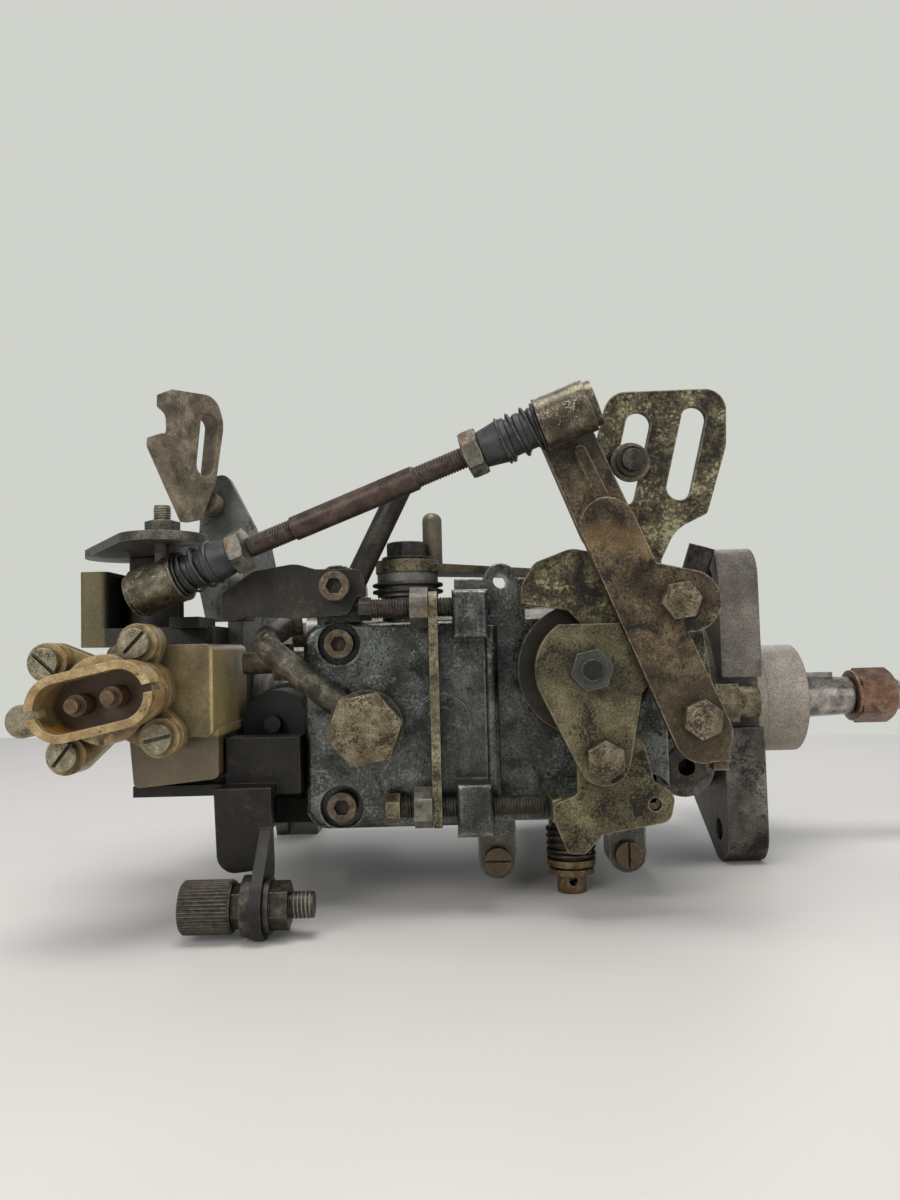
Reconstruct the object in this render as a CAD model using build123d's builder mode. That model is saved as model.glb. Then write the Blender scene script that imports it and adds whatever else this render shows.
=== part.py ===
from build123d import *
import os
from math import atan2, cos, pi, radians, sin, sqrt, tan

# Distributor injection pump for a four-cylinder diesel engine, in millimetres.
# Frame: the origin is where the drive shaft's axis meets the front face of the mounting
# flange. +X runs out along the drive shaft, +Z is up, and the governor cover faces -Y.
# Depths called "out" are measured from the shaft's axis towards -Y, the cover's side.

# ---- clearances ----
FIT = 0.04  # radial, running fits
SEAT = 0.05  # radial, pressed or screwed pieces of one body
GAP = 0.4  # between pieces that move past each other

# ---- mounting flange, pilot and drive shaft ----
FLANGE_T = 16.0
FLANGE_PCD = 118.0
FLANGE_LOBE_R = 12.4
FLANGE_HOLE_R = 4.5
PILOT_R = 25.0
PILOT_LENGTH = 8.0
NOSE_R = 23.2
NOSE_LENGTH = 26.0
SEAL_R = 17.5
SEAL_W = 8.0
BUSH_R = 13.0
BUSH_LENGTH = 26.0
JOURNAL_R = 10.0
TAPER_R = 9.4
TAPER_END_R = 8.2
TAPER_LENGTH = 26.0
THREAD_R = 7.0
THREAD_LENGTH = 22.0
NUT_AF = 21.0
NUT_H = 15.5
WASHER_H = 1.6

# ---- pump housing ----
HOUSING_LENGTH = 170.0
NECK_LENGTH = 48.0
BARREL_R = 42.0
NECK_R = 37.0
CHAMBER_R = 35.0
PUMP_BORE_R = 33.0
BOX_HALF = 35.5
BOX_OUT = 62.0
WALL = 8.5

# ---- governor cover ----
COVER_REAR = 175.0
COVER_STEP = 110.0
COVER_OUT = 90.0
COVER_LOW_OUT = 82.0
COVER_WALL = 4.0
COVER_CORNER_R = 8.0
COVER_RIM_R = 2.4
STEP_R = 2.4
LUG_EDGE_R = 2.0
SCREW_R = 3.0
SCREW_HEAD_R = 5.0
SCREW_HEAD_H = 6.0
COVER_SCREW_Z = 28.0

# ---- feed pump, drive train and cam ----
FEED_START = 20.0
FEED_WIDTH = 18.0
FEED_PLATE_T = 6.0
FEED_CAM_R = 23.0
FEED_OFFSET = 1.5
ROTOR_R = 19.0
VANE_T = 3.0
VANES = 4
GEAR_START = 54.0
GEAR_W = 8.0
GEAR_MODULE = 2.0
DRIVE_TEETH = 32
GOVERNOR_TEETH = 21
COUPLING_R = 18.0
RING_R = 34.6
RING_BORE_R = 20.0
RING_START = 66.0
RING_END = 84.0
ROLLER_R = 5.5
ROLLER_AXIS = 83.0
ROLLERS = 4
CAM_R = 30.0
CAM_LIFT = 2.2
CAM_T = 6.0
PLUNGER_R = 5.0
PLUNGER_END = 172.0
COLLAR_R = 11.0
COLLAR_START = 113.0
COLLAR_END = 123.0

# ---- governor ----
GOVERNOR_OUT = GEAR_MODULE * (DRIVE_TEETH + GOVERNOR_TEETH) / 2
GOVERNOR_SHAFT_R = 4.0
CAGE_R = 15.5
CAGE_END = 80.0
SLEEVE_R = 6.5
SLEEVE_END = 98.0
LEVER_T = 3.0
LEVER_PIVOT_X = -107.0
LEVER_PIVOT_OUT = 32.0

# ---- distributor head ----
HEAD_R = 40.0
HEAD_FLANGE_T = 12.0
HEAD_REAR = 205.0
HEAD_SCREW_R = BARREL_R + 4.0
VALVE_CIRCLE_R = 22.0
VALVE_AF = 16.0
VALVE_LENGTH = 28.0
SOLENOID_X = -188.0
SOLENOID_R = 12.0

# ---- timing device, across the housing on the side away from the cover ----
TIMING_X = -75.0
TIMING_Y = BARREL_R + 8.0
TIMING_R = 12.0
TIMING_HALF = 44.0
TIMING_BODY_R = 19.0
TIMING_PISTON_HALF = 20.0
TIMING_COVER_T = 5.0

# ---- throttle ----
THROTTLE_X = -79.8
THROTTLE_Z = 17.5
THROTTLE_R = 5.0
THROTTLE_NUT_AF = 12.0
QUADRANT_OUT = COVER_OUT + 19.0
QUADRANT_T = 3.0
CONTROL_OUT = QUADRANT_OUT + QUADRANT_T
CONTROL_T = 4.0
LONG_LEVER_OUT = CONTROL_OUT + CONTROL_T
LONG_LEVER_T = 3.5
ARM_STEP = 1.8  # the long lever's upper arm is set back by this much
BOLT_AF = 13.0
BOLT_HEAD_H = 4.6
LEVER_BOLT_R = 3.0
LEVER_BOLTS = [(-51.6, 38.5), (-46.3, 1.4)]
PLATE_BOLT = (-76.2, -10.8)

# ---- link between the throttle and the load sensor ----
FRONT_BALL = (-86.7, -LONG_LEVER_OUT - 12.0, 96.3)
REAR_BALL = (-220.0, -100.0, 49.2)
REAR_OFFSET = 1.9  # the rear socket rests this much nearer the cover's side than its ball
BALL_R = 4.2
SOCKET_R = 8.25
SOCKET_LENGTH = 16.0
ROD_R = 3.2

# ---- load sensor and its lever ----
CRANK_PIVOT = (-237.6, -55.4)
CRANK_Z = 63.0
CRANK_T = 3.0

# ---- floor contact ----
FLOOR = FLANGE_PCD / 2 * sin(radians(60)) + FLANGE_LOBE_R

os.makedirs("parts", exist_ok=True)


# ---- helpers: planes ----
def across(x):
    """The plane square to the drive shaft at x, with local axes Y and Z and +X as normal."""
    return Plane.YZ.offset(x)


def front(out):
    """The plane facing -Y at a depth out, with local axes X and Z."""
    return Plane.XZ.offset(out)


def level(z):
    """The horizontal plane at height z, with local axes X and Y."""
    return Plane.XY.offset(z)


def spot(plane, u, v, w=0.0):
    """The plane moved so that its origin is at local u, v, w."""
    return Plane(plane.from_local_coords((u, v, w)), x_dir=plane.x_dir, z_dir=plane.z_dir)


# ---- helpers: features made in the part being built ----
def turned(plane, steps, mode=Mode.ADD):
    """Coaxial cylinders, each given as radius, start and end along the plane's normal."""
    for radius, start, end in steps:
        with BuildSketch(plane.offset(start)) as outline:
            Circle(radius)
        extrude(outline.sketch, amount=end - start, mode=mode)


def hexagon(plane, across_flats, start, end, turn=0.0, mode=Mode.ADD):
    """A hexagonal prism from start to end along the plane's normal."""
    with BuildSketch(plane.offset(start)) as outline:
        RegularPolygon(across_flats / 2, 6, major_radius=False, rotation=turn)
    extrude(outline.sketch, amount=end - start, mode=mode)


def block(plane, low, high, start, end, mode=Mode.ADD):
    """A rectangular block with local corners low and high, from start to end."""
    with BuildSketch(plane.offset(start)) as outline:
        with Locations(((low[0] + high[0]) / 2, (low[1] + high[1]) / 2)):
            Rectangle(high[0] - low[0], high[1] - low[1])
    extrude(outline.sketch, amount=end - start, mode=mode)


def hull_plate(plane, circles, start, end, mode=Mode.ADD):
    """A plate around circles given as centre u, v and radius, with tangent sides."""
    with BuildSketch(plane.offset(start)) as outline:
        with BuildLine():
            for u, v, radius in circles:
                CenterArc((u, v), radius, 0, 360)
        make_hull()
    extrude(outline.sketch, amount=end - start, mode=mode)


def fitted_radii(points, radii):
    """The corner radii, each kept small enough for the two sides beside it."""
    fitted = []
    for i, radius in enumerate(radii):
        corner = Vector(*points[i])
        sides = [Vector(*points[i - 1]) - corner, Vector(*points[(i + 1) % len(points)]) - corner]
        half_angle = radians(sides[0].get_angle(sides[1]) / 2)
        room = 0.48 * min(side.length for side in sides)
        fitted.append(min(radius, room * tan(half_angle)))
    return fitted


def cut_plate(plane, points, radii, start, end, mode=Mode.ADD):
    """A plate with a cornered outline, each corner rounded to its radius."""
    with BuildSketch(plane.offset(start)) as outline:
        with BuildLine():
            FilletPolyline(*points, radius=fitted_radii(points, radii), close=True)
        make_face()
    extrude(outline.sketch, amount=end - start, mode=mode)


def drilled(plane, spots, radius, start, end):
    """Round holes at local spots, from start to end along the plane's normal."""
    for u, v in spots:
        turned(spot(plane, u, v), [(radius, start, end)], mode=Mode.SUBTRACT)


def socket_screw(plane, shank):
    """A cap screw whose head stands on the plane and whose shank goes back from it."""
    turned(plane, [(SCREW_R, -shank, 0), (SCREW_HEAD_R, 0, SCREW_HEAD_H)])
    hexagon(plane, SCREW_HEAD_R, SCREW_HEAD_H / 2, SCREW_HEAD_H, mode=Mode.SUBTRACT)


def slotted_screw(plane, head_r, head_h, shank_r, shank, turn):
    """A cheese-head screw with its slot turned about the screw's own axis."""
    turned(plane, [(shank_r, -shank, 0), (head_r, 0, head_h)])
    with BuildSketch(plane.offset(head_h * 0.55)) as outline:
        Rectangle(2.5 * head_r, 0.26 * head_r, rotation=turn)
    extrude(outline.sketch, amount=head_h, mode=Mode.SUBTRACT)


def save(builder, name):
    """Label a finished piece and write it under its own name."""
    builder.part.label = name
    export_step(builder.part, f"parts/{name}.step")


# ---- shared places ----
def ring_spots(radius, count, first):
    """Points evenly spaced on a circle, as local coordinates."""
    angles = [radians(first + 360 * i / count) for i in range(count)]
    return [(radius * cos(a), radius * sin(a)) for a in angles]


flange_lobes = ring_spots(FLANGE_PCD / 2, 3, 0)
head_screw_spots = ring_spots(HEAD_SCREW_R, 4, 45)
valve_spots = ring_spots(VALVE_CIRCLE_R, 4, 45)
cover_screw_spots = [
    (x, z) for x in (-COVER_REAR + 12.5, -NECK_LENGTH - 7) for z in (COVER_SCREW_Z, -COVER_SCREW_Z)
]
timing_screw_spots = [(TIMING_X - 14, TIMING_Y), (TIMING_X + 14, TIMING_Y)]
ARM_SCREW = (-162.2, 47.3)
ARM_OUT = COVER_OUT + 2.0
ARM_T = 5.0
INLET = (-32.6, -23.5)
INLET_OUT = 43.0
INLET_R = 12.0
INLET_BORE_R = 6.0
VENT_BASE = Plane((-34.5, -32.0, 19.0), x_dir=(1, 0, -0.30), z_dir=(0.30, -0.16, 1))
VENT_LENGTH = 47.5
VENT_R = 5.2
COLD_X = -138.8
COLD_OUT = 75.0
SCREW_OUT = COVER_OUT + 7.0  # axis of both stop screws
STOP_R = 3.5
UPPER_STOP_Z = 39.5
LOWER_STOP_Z = -27.5
STRAP_X = -131.0
STRAP_T = 3.0
LUG_X = -117.0
LUG_W = 12.0
POSTS = [(-108.9, -50.3), (-62.5, -49.4)]
POST_R = 6.7
POST_OUT = 76.0
FITTING_X = -82.0
FITTING_OUT = 70.0
FITTING_TOP = -BOX_HALF - 4.5
BANJO = (-152.6, -0.2)
PIPE_OUT = COVER_OUT + 8.0


# ---- pump housing ----
def housing_body():
    """Flange, pilot, neck, barrel, governor box and timing cylinder, all solid."""
    lobes = [(y, z, FLANGE_LOBE_R) for y, z in flange_lobes]
    hull_plate(across(0), lobes, -FLANGE_T, 0)
    turned(across(0), [(PILOT_R, -1, PILOT_LENGTH), (NOSE_R, PILOT_LENGTH, NOSE_LENGTH)])
    turned(across(0), [(BARREL_R, -HOUSING_LENGTH, -NECK_LENGTH), (NECK_R, -NECK_LENGTH, -FLANGE_T)])
    block(front(0), (-HOUSING_LENGTH, -BOX_HALF), (-NECK_LENGTH, BOX_HALF), 0, BOX_OUT)
    turned(spot(level(0), TIMING_X, TIMING_Y), [(TIMING_BODY_R, -TIMING_HALF, TIMING_HALF)])
    half = TIMING_BODY_R
    block(
        level(0), (TIMING_X - half, BARREL_R / 2), (TIMING_X + half, TIMING_Y), -BARREL_R + 6, BARREL_R - 6
    )
    turned(spot(front(0), *INLET), [(INLET_R, 20, INLET_OUT)])
    for y, z in head_screw_spots:
        turned(spot(across(0), y, z), [(7.5, -HOUSING_LENGTH, -HOUSING_LENGTH + 22)])
    for side in (1, -1):
        pad = spot(level(0), TIMING_X, TIMING_Y)
        block(pad, (-20, -9), (20, 9), side * TIMING_HALF, side * (TIMING_HALF - 7))


def housing_bores():
    """Seal seat, bush seat, feed pump bore, cam chamber, governor well and timing bore."""
    turned(
        across(0),
        [
            (SEAL_R, NOSE_LENGTH - SEAL_W - 1, NOSE_LENGTH),
            (BUSH_R, NOSE_LENGTH - SEAL_W - BUSH_LENGTH - 1, NOSE_LENGTH - SEAL_W - 1),
            (BUSH_R - 1.5, -FEED_START, NOSE_LENGTH - SEAL_W - BUSH_LENGTH - 1),
            (PUMP_BORE_R, -FEED_START - FEED_WIDTH - FEED_PLATE_T, -FEED_START),
            (CHAMBER_R, -HOUSING_LENGTH, -FEED_START - FEED_WIDTH - FEED_PLATE_T),
        ],
        mode=Mode.SUBTRACT,
    )
    half = BOX_HALF - WALL
    block(front(0), (-HOUSING_LENGTH + 10, -half), (-GEAR_START + 2.5, half), 0, BOX_OUT, Mode.SUBTRACT)
    turned(
        spot(level(0), TIMING_X, TIMING_Y), [(TIMING_R, -TIMING_HALF, TIMING_HALF)], mode=Mode.SUBTRACT
    )
    block(level(0), (TIMING_X - 6, 20), (TIMING_X + 6, TIMING_Y), -12, 12, Mode.SUBTRACT)


def housing_holes():
    """Flange, screw, inlet, pivot and governor shaft holes."""
    drilled(across(0), flange_lobes, FLANGE_HOLE_R, -FLANGE_T, 0)
    drilled(front(0), [INLET], INLET_BORE_R, 33, INLET_OUT)
    drilled(front(0), cover_screw_spots, SCREW_R + SEAT, BOX_OUT - 14, BOX_OUT)
    drilled(across(0), head_screw_spots, SCREW_R + SEAT, -HOUSING_LENGTH, -HOUSING_LENGTH + 16)
    drilled(across(0), [(-GOVERNOR_OUT, 0)], GOVERNOR_SHAFT_R + SEAT, -GEAR_START, -NECK_LENGTH)
    for side in (1, -1):
        ends = sorted((side * (BOX_HALF - WALL - 1), side * BOX_HALF))
        drilled(level(0), [(LEVER_PIVOT_X, -LEVER_PIVOT_OUT)], SCREW_R + SEAT, *ends)
        seat = sorted((side * BOX_HALF, side * (BOX_HALF + BARREL_R / 2)))
        drilled(level(0), [(LEVER_PIVOT_X, -LEVER_PIVOT_OUT)], 6.5, *seat)
        ends = sorted((side * (TIMING_HALF - 12), side * TIMING_HALF))
        drilled(level(0), timing_screw_spots, SCREW_R + SEAT, *ends)


with BuildPart() as pump_housing:
    housing_body()
    housing_bores()
    housing_holes()
    # the near rim of the flange is notched for the hex plug beside the pilot
    flange_rim = FLANGE_PCD / 2 + FLANGE_LOBE_R
    block(across(0), (-flange_rim, -9), (-36.5, 11), -FLANGE_T, 0, Mode.SUBTRACT)
save(pump_housing, "pump_housing")


# ---- governor cover ----
def cover_blocks():
    """The high rear block and the lower front block."""
    block(front(0), (-COVER_REAR, -BOX_HALF), (-COVER_STEP, BOX_HALF), BOX_OUT, COVER_OUT)
    block(front(0), (-COVER_STEP, -BOX_HALF), (-NECK_LENGTH, BOX_HALF), BOX_OUT, COVER_LOW_OUT)


def cover_lugs():
    """Two lugs that the stop screws run through."""
    for z_low, z_high in ((28.5, 45.0), (-37.0, -19.5)):
        low, high = (LUG_X - LUG_W / 2, z_low), (LUG_X + LUG_W / 2, z_high)
        block(front(0), low, high, BOX_OUT + 8, SCREW_OUT + 6)


def cover_bosses():
    """Ears, bosses and the rounded step between the two blocks."""
    block(front(0), (LUG_X - 5, 30), (-97, 50), BOX_OUT + 4, COVER_LOW_OUT)
    turned(spot(front(0), -105.5, 49.1), [(6.2, BOX_OUT + 4, COVER_LOW_OUT)])
    turned(spot(front(0), *ARM_SCREW), [(8.0, BOX_OUT + 4, ARM_OUT)])
    block(front(0), (ARM_SCREW[0] - 8, 30), (ARM_SCREW[0] + 8, ARM_SCREW[1]), BOX_OUT + 4, COVER_OUT - 2)
    turned(spot(level(0), COLD_X, -COLD_OUT), [(9.5, 30, 44)])
    # plugged boss beside the return union, and the rounded step between the blocks
    plugged = spot(front(0), -127.1, 0)
    turned(plugged, [(9.9, COVER_OUT, COVER_OUT + 0.8), (5.4, COVER_OUT, COVER_OUT + 1.2)])
    step = BOX_HALF - COVER_RIM_R
    turned(spot(level(0), -COVER_STEP, 1 - COVER_OUT), [(STEP_R, -step, step)])
    turned(spot(front(0), THROTTLE_X, THROTTLE_Z), [(13.0, COVER_LOW_OUT, COVER_LOW_OUT + 8)])
    for x, z in POSTS:
        block(front(0), (x - POST_R, z), (x + POST_R, -BOX_HALF + 2), BOX_OUT + 3, POST_OUT)
        turned(spot(front(0), x, z), [(POST_R, BOX_OUT + 3, POST_OUT)])
    turned(spot(level(0), FITTING_X, -FITTING_OUT), [(8.0, FITTING_TOP, FITTING_TOP + 10)])


def cover_hollow():
    """The space over the governor, open towards the housing."""
    half = BOX_HALF - WALL
    for x_low, x_high, out in (
        (-COVER_REAR + 23, -COVER_STEP - COVER_WALL, COVER_OUT - COVER_WALL),
        (-COVER_STEP - COVER_WALL, -GEAR_START + 2.5, COVER_LOW_OUT - 3.2),
    ):
        block(front(0), (x_low, -half), (x_high, half), BOX_OUT, out, Mode.SUBTRACT)


def cover_holes():
    """Counterbored screw holes, threads, the throttle bush and the cold-start shaft."""
    for x, z in cover_screw_spots:
        top = COVER_OUT if x < -COVER_STEP else COVER_LOW_OUT
        drilled(front(0), [(x, z)], SCREW_R + SEAT, BOX_OUT, top)
        drilled(front(0), [(x, z)], SCREW_HEAD_R + 2.4, top - 5, top)
    drilled(front(0), [(-105.5, 49.1)], 2.6, BOX_OUT, COVER_LOW_OUT)
    drilled(front(0), [(THROTTLE_X, THROTTLE_Z)], THROTTLE_R + FIT, BOX_OUT, COVER_LOW_OUT + 8)
    drilled(front(0), [ARM_SCREW], SCREW_R + SEAT, ARM_OUT - 16, ARM_OUT)
    drilled(front(0), [BANJO], 6.0 + SEAT, COVER_OUT - 11, COVER_OUT)
    drilled(front(0), POSTS, 3.0 + SEAT, POST_OUT - 8, POST_OUT)
    drilled(level(0), [(COLD_X, -COLD_OUT)], 4.0 + FIT, 32, 44)
    drilled(level(0), [(FITTING_X, -FITTING_OUT)], 5.0 + SEAT, FITTING_TOP, FITTING_TOP + 9)
    drilled(across(0), [(-SCREW_OUT, UPPER_STOP_Z)], STOP_R + SEAT, -130, -100)
    drilled(across(0), [(-SCREW_OUT, LOWER_STOP_Z)], STOP_R + SEAT, -130, -100)
    drilled(across(0), [(-78, 22)], 3.95 + SEAT, -COVER_REAR, -COVER_REAR + 9.1)


with BuildPart() as governor_cover:
    cover_blocks()
    # cast corners at the rear, and a rounded rim
    fillet(governor_cover.edges().filter_by(Axis.Y).group_by(Axis.X)[0], COVER_CORNER_R)
    fillet(governor_cover.faces().sort_by(Axis.Y)[0].edges(), COVER_RIM_R)
    cover_lugs()
    for lug_face in governor_cover.faces().filter_by(Axis.Y).sort_by(Axis.Y)[:2]:
        fillet(lug_face.edges(), LUG_EDGE_R)
    cover_bosses()
    cover_hollow()
    cover_holes()
save(governor_cover, "governor_cover")


# ---- distributor head ----
with BuildPart() as distributor_head:
    flange_face = -HOUSING_LENGTH
    turned(
        across(0),
        [
            (CHAMBER_R - SEAT, flange_face, flange_face + 9),
            (HEAD_R + 2, flange_face - HEAD_FLANGE_T, flange_face),
            (HEAD_R - 4, -HEAD_REAR, flange_face - HEAD_FLANGE_T),
        ],
    )
    for y, z in head_screw_spots:
        turned(spot(across(0), y, z), [(7.5, flange_face - HEAD_FLANGE_T, flange_face)])
    turned(spot(front(0), SOLENOID_X, 0), [(SOLENOID_R + 2, 20, 46)])
    turned(across(0), [(9.0 + SEAT, -HEAD_REAR, flange_face + 9)], mode=Mode.SUBTRACT)
    drilled(across(0), head_screw_spots, SCREW_R + SEAT, flange_face - HEAD_FLANGE_T, flange_face)
    drilled(across(0), valve_spots, 5.0 + SEAT, -HEAD_REAR, -HEAD_REAR + 16)
    drilled(front(0), [(SOLENOID_X, 0)], 6.0 + SEAT, 34, 46)
save(distributor_head, "distributor_head")

with BuildPart() as head_fittings:
    # four delivery valve holders around the central closing plug
    for y, z in valve_spots:
        holder = spot(across(-HEAD_REAR), y, z)
        turned(holder, [(4.95, 0, 14), (6.0, -VALVE_LENGTH, -VALVE_LENGTH + 14)])
        hexagon(holder, VALVE_AF, -VALVE_LENGTH + 13, 0)
        drilled(holder, [(0, 0)], 1.6, -VALVE_LENGTH, 10)
        turned(holder, [(3.0, -VALVE_LENGTH, -VALVE_LENGTH + 4)], mode=Mode.SUBTRACT)
    hexagon(across(-HEAD_REAR), 19.0, -8, -SEAT)
save(head_fittings, "head_fittings")

with BuildPart() as distributor_barrel:
    turned(across(0), [(9.0, -HEAD_REAR, -HOUSING_LENGTH + 24)])
    turned(across(0), [(PLUNGER_R + FIT, -HEAD_REAR + 10, -HOUSING_LENGTH + 24)], mode=Mode.SUBTRACT)
save(distributor_barrel, "distributor_barrel")

with BuildPart() as stop_solenoid:
    solenoid = spot(front(0), SOLENOID_X, 0)
    turned(solenoid, [(5.95, 36, 46), (SOLENOID_R, 52, 74), (3.0, 74, 80)])
    hexagon(solenoid, 22.0, 46, 52)
save(stop_solenoid, "stop_solenoid")


# ---- front bearing and seal ----
with BuildPart() as shaft_bush:
    bush_end = NOSE_LENGTH - SEAL_W - 1
    turned(across(0), [(BUSH_R - SEAT, bush_end - BUSH_LENGTH, bush_end)])
    turned(across(0), [(JOURNAL_R + FIT, bush_end - BUSH_LENGTH, bush_end)], mode=Mode.SUBTRACT)
save(shaft_bush, "shaft_bush")

with BuildPart() as shaft_seal:
    seal_start = NOSE_LENGTH - SEAL_W
    turned(across(0), [(SEAL_R - SEAT, seal_start, NOSE_LENGTH - 1)])
    turned(across(0), [(JOURNAL_R + FIT, seal_start, NOSE_LENGTH - 1)], mode=Mode.SUBTRACT)
    turned(across(0), [(SEAL_R - 3, NOSE_LENGTH - 3, NOSE_LENGTH - 1)], mode=Mode.SUBTRACT)
save(shaft_seal, "shaft_seal")


# ---- feed pump ----
with BuildPart() as feed_pump_ring:
    turned(across(0), [(PUMP_BORE_R - SEAT, -FEED_START - FEED_WIDTH, -FEED_START)])
    drilled(across(0), [(0, FEED_OFFSET)], FEED_CAM_R, -FEED_START - FEED_WIDTH, -FEED_START)
save(feed_pump_ring, "feed_pump_ring")

with BuildPart() as feed_pump_plate:
    plate_start = -FEED_START - FEED_WIDTH - FEED_PLATE_T
    turned(across(0), [(PUMP_BORE_R - SEAT, plate_start, plate_start + FEED_PLATE_T)])
    drilled(across(0), [(0, 0)], JOURNAL_R + FIT, plate_start, plate_start + FEED_PLATE_T)
save(feed_pump_plate, "feed_pump_plate")

with BuildPart() as feed_pump_rotor:
    # rotor with its four vanes in their slots
    rotor_start, rotor_end = -FEED_START - FEED_WIDTH + GAP, -FEED_START - GAP
    turned(across(0), [(ROTOR_R, rotor_start, rotor_end)])
    for angle in range(0, 360, 360 // VANES):
        with BuildSketch(across(rotor_start)):
            with PolarLocations((ROTOR_R + FEED_CAM_R) / 2, 1, angle):
                Rectangle(FEED_CAM_R - ROTOR_R, VANE_T)
        extrude(amount=rotor_end - rotor_start)
    turned(across(0), [(FEED_CAM_R - FEED_OFFSET - GAP, rotor_start, rotor_end)], mode=Mode.INTERSECT)
    turned(across(0), [(JOURNAL_R + SEAT, rotor_start, rotor_end)], mode=Mode.SUBTRACT)
save(feed_pump_rotor, "feed_pump_rotor")


# ---- drive shaft ----
with BuildPart() as drive_shaft:
    taper_start = NOSE_LENGTH
    taper_end = taper_start + TAPER_LENGTH
    with BuildSketch(Plane.XY):
        with BuildLine():
            Polyline(
                (-GEAR_START - 12, 0),
                (-GEAR_START - 12, COUPLING_R - 2),
                (-GEAR_START - GEAR_W - GAP, COUPLING_R - 2),
                (-GEAR_START - GEAR_W - GAP, JOURNAL_R),
                (taper_start - 0.5, JOURNAL_R),
                (taper_start - 0.5, TAPER_R),
                (taper_end, TAPER_END_R),
                (taper_end, THREAD_R),
                (taper_end + THREAD_LENGTH - 1.2, THREAD_R),
                (taper_end + THREAD_LENGTH, THREAD_R - 1.2),
                (taper_end + THREAD_LENGTH, 0),
                close=True,
            )
        make_face()
    revolve(axis=Axis.X)
    # woodruff key standing out of the taper
    key_low, key_high = (taper_start + 6, -1.5), (taper_start + 19, 1.5)
    block(level(0), key_low, key_high, 0, TAPER_R + 1.2)
    # the driving claws of the cross coupling
    low, high = (-COUPLING_R - 1, -4.1), (COUPLING_R + 1, 4.1)
    block(across(0), low, high, -GEAR_START - 12, -GEAR_START - 9.5, Mode.SUBTRACT)
save(drive_shaft, "drive_shaft")

with BuildPart() as shaft_nut:
    nut_start = taper_end + 0.8
    turned(across(0), [(THREAD_R + 4.2, nut_start, nut_start + WASHER_H)])
    hexagon(across(0), NUT_AF, nut_start + WASHER_H, nut_start + WASHER_H + NUT_H, 30)
    chamfer(shaft_nut.faces().sort_by(Axis.X)[-1].edges(), 0.8)
    turned(across(0), [(THREAD_R + SEAT, nut_start, nut_start + 20)], mode=Mode.SUBTRACT)
save(shaft_nut, "shaft_nut")


# ---- governor gears ----
def tooth_outline(teeth):
    """The outline of one tooth with involute flanks, and the radius at its root."""
    pitch_r = GEAR_MODULE * teeth / 2
    base_r = pitch_r * cos(radians(20))
    root_r, tip_r = pitch_r - 1.25 * GEAR_MODULE, pitch_r + GEAR_MODULE - 0.15
    half_pitch = pi / (2 * teeth) - 0.12 / pitch_r
    pitch_angle = tan(radians(20)) - radians(20)

    def flank(radius):
        """Half the tooth's angle at a radius."""
        if radius <= base_r:
            return half_pitch + pitch_angle
        roll = sqrt((radius / base_r) ** 2 - 1)
        return half_pitch + pitch_angle - (roll - atan2(roll, 1))

    radii = [root_r - 0.4, base_r, pitch_r, (pitch_r + tip_r) / 2, tip_r]
    side = [(r * cos(flank(r)), r * sin(flank(r))) for r in radii]
    tooth = side + [(x, -y) for x, y in reversed(side)]
    return tooth, root_r


def gear(plane, teeth, start, width, first):
    """A gear of straight teeth about the plane's normal, with one tooth at angle first."""
    tooth, root_r = tooth_outline(teeth)
    with BuildSketch(plane.offset(start)) as outline:
        Circle(root_r)
        with PolarLocations(0, teeth, first):
            with BuildLine():
                Polyline(*tooth, close=True)
            make_face()
    extrude(outline.sketch, amount=width)


with BuildPart() as governor_drive_gear:
    # a tooth points straight at the governor's gear
    gear(across(0), DRIVE_TEETH, -GEAR_START - GEAR_W, GEAR_W, 180)
    turned(across(0), [(JOURNAL_R + SEAT, -GEAR_START - GEAR_W, -GEAR_START)], mode=Mode.SUBTRACT)
save(governor_drive_gear, "governor_drive_gear")

with BuildPart() as cross_coupling:
    disc_start = -GEAR_START - 16.5
    turned(across(0), [(COUPLING_R, disc_start, disc_start + 4.4)])
    block(across(0), (-COUPLING_R, -4), (COUPLING_R, 4), disc_start + 4.4, disc_start + 6.8)
    block(across(0), (-4, -COUPLING_R), (4, COUPLING_R), disc_start - 6.5, disc_start)
    turned(across(0), [(COUPLING_R, disc_start - 6.5, disc_start + 7)], mode=Mode.INTERSECT)
save(cross_coupling, "cross_coupling")


# ---- cam, plunger and springs ----
ROLLER_TANGENT = ROLLER_AXIS + ROLLER_R
CAM_TOP = ROLLER_TANGENT + GAP

with BuildPart() as roller_ring:
    turned(across(0), [(RING_R, -RING_END, -RING_START)])
    turned(across(0), [(RING_BORE_R, -RING_END, -RING_START)], mode=Mode.SUBTRACT)
    for angle in range(0, 360, 360 // ROLLERS):
        outward = (0, cos(radians(angle)), sin(radians(angle)))
        seat = Plane((-ROLLER_AXIS, 0, 0), x_dir=(1, 0, 0), z_dir=outward)
        turned(seat, [(ROLLER_R + 0.2, RING_BORE_R - 5, 32.2)], mode=Mode.SUBTRACT)
    # the pin that the timing piston turns the ring by
    pin = spot(Plane.XZ, TIMING_X, 0)
    turned(pin, [(3.0, -TIMING_Y - 2, -RING_R + 2)])
    for angle in range(0, 360, 360 // ROLLERS):
        outward = (0, cos(radians(angle)), sin(radians(angle)))
        seat = Plane((-ROLLER_AXIS, 0, 0), x_dir=(1, 0, 0), z_dir=outward)
        turned(seat, [(ROLLER_R, RING_BORE_R + 1, 32)])
save(roller_ring, "roller_ring")

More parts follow.
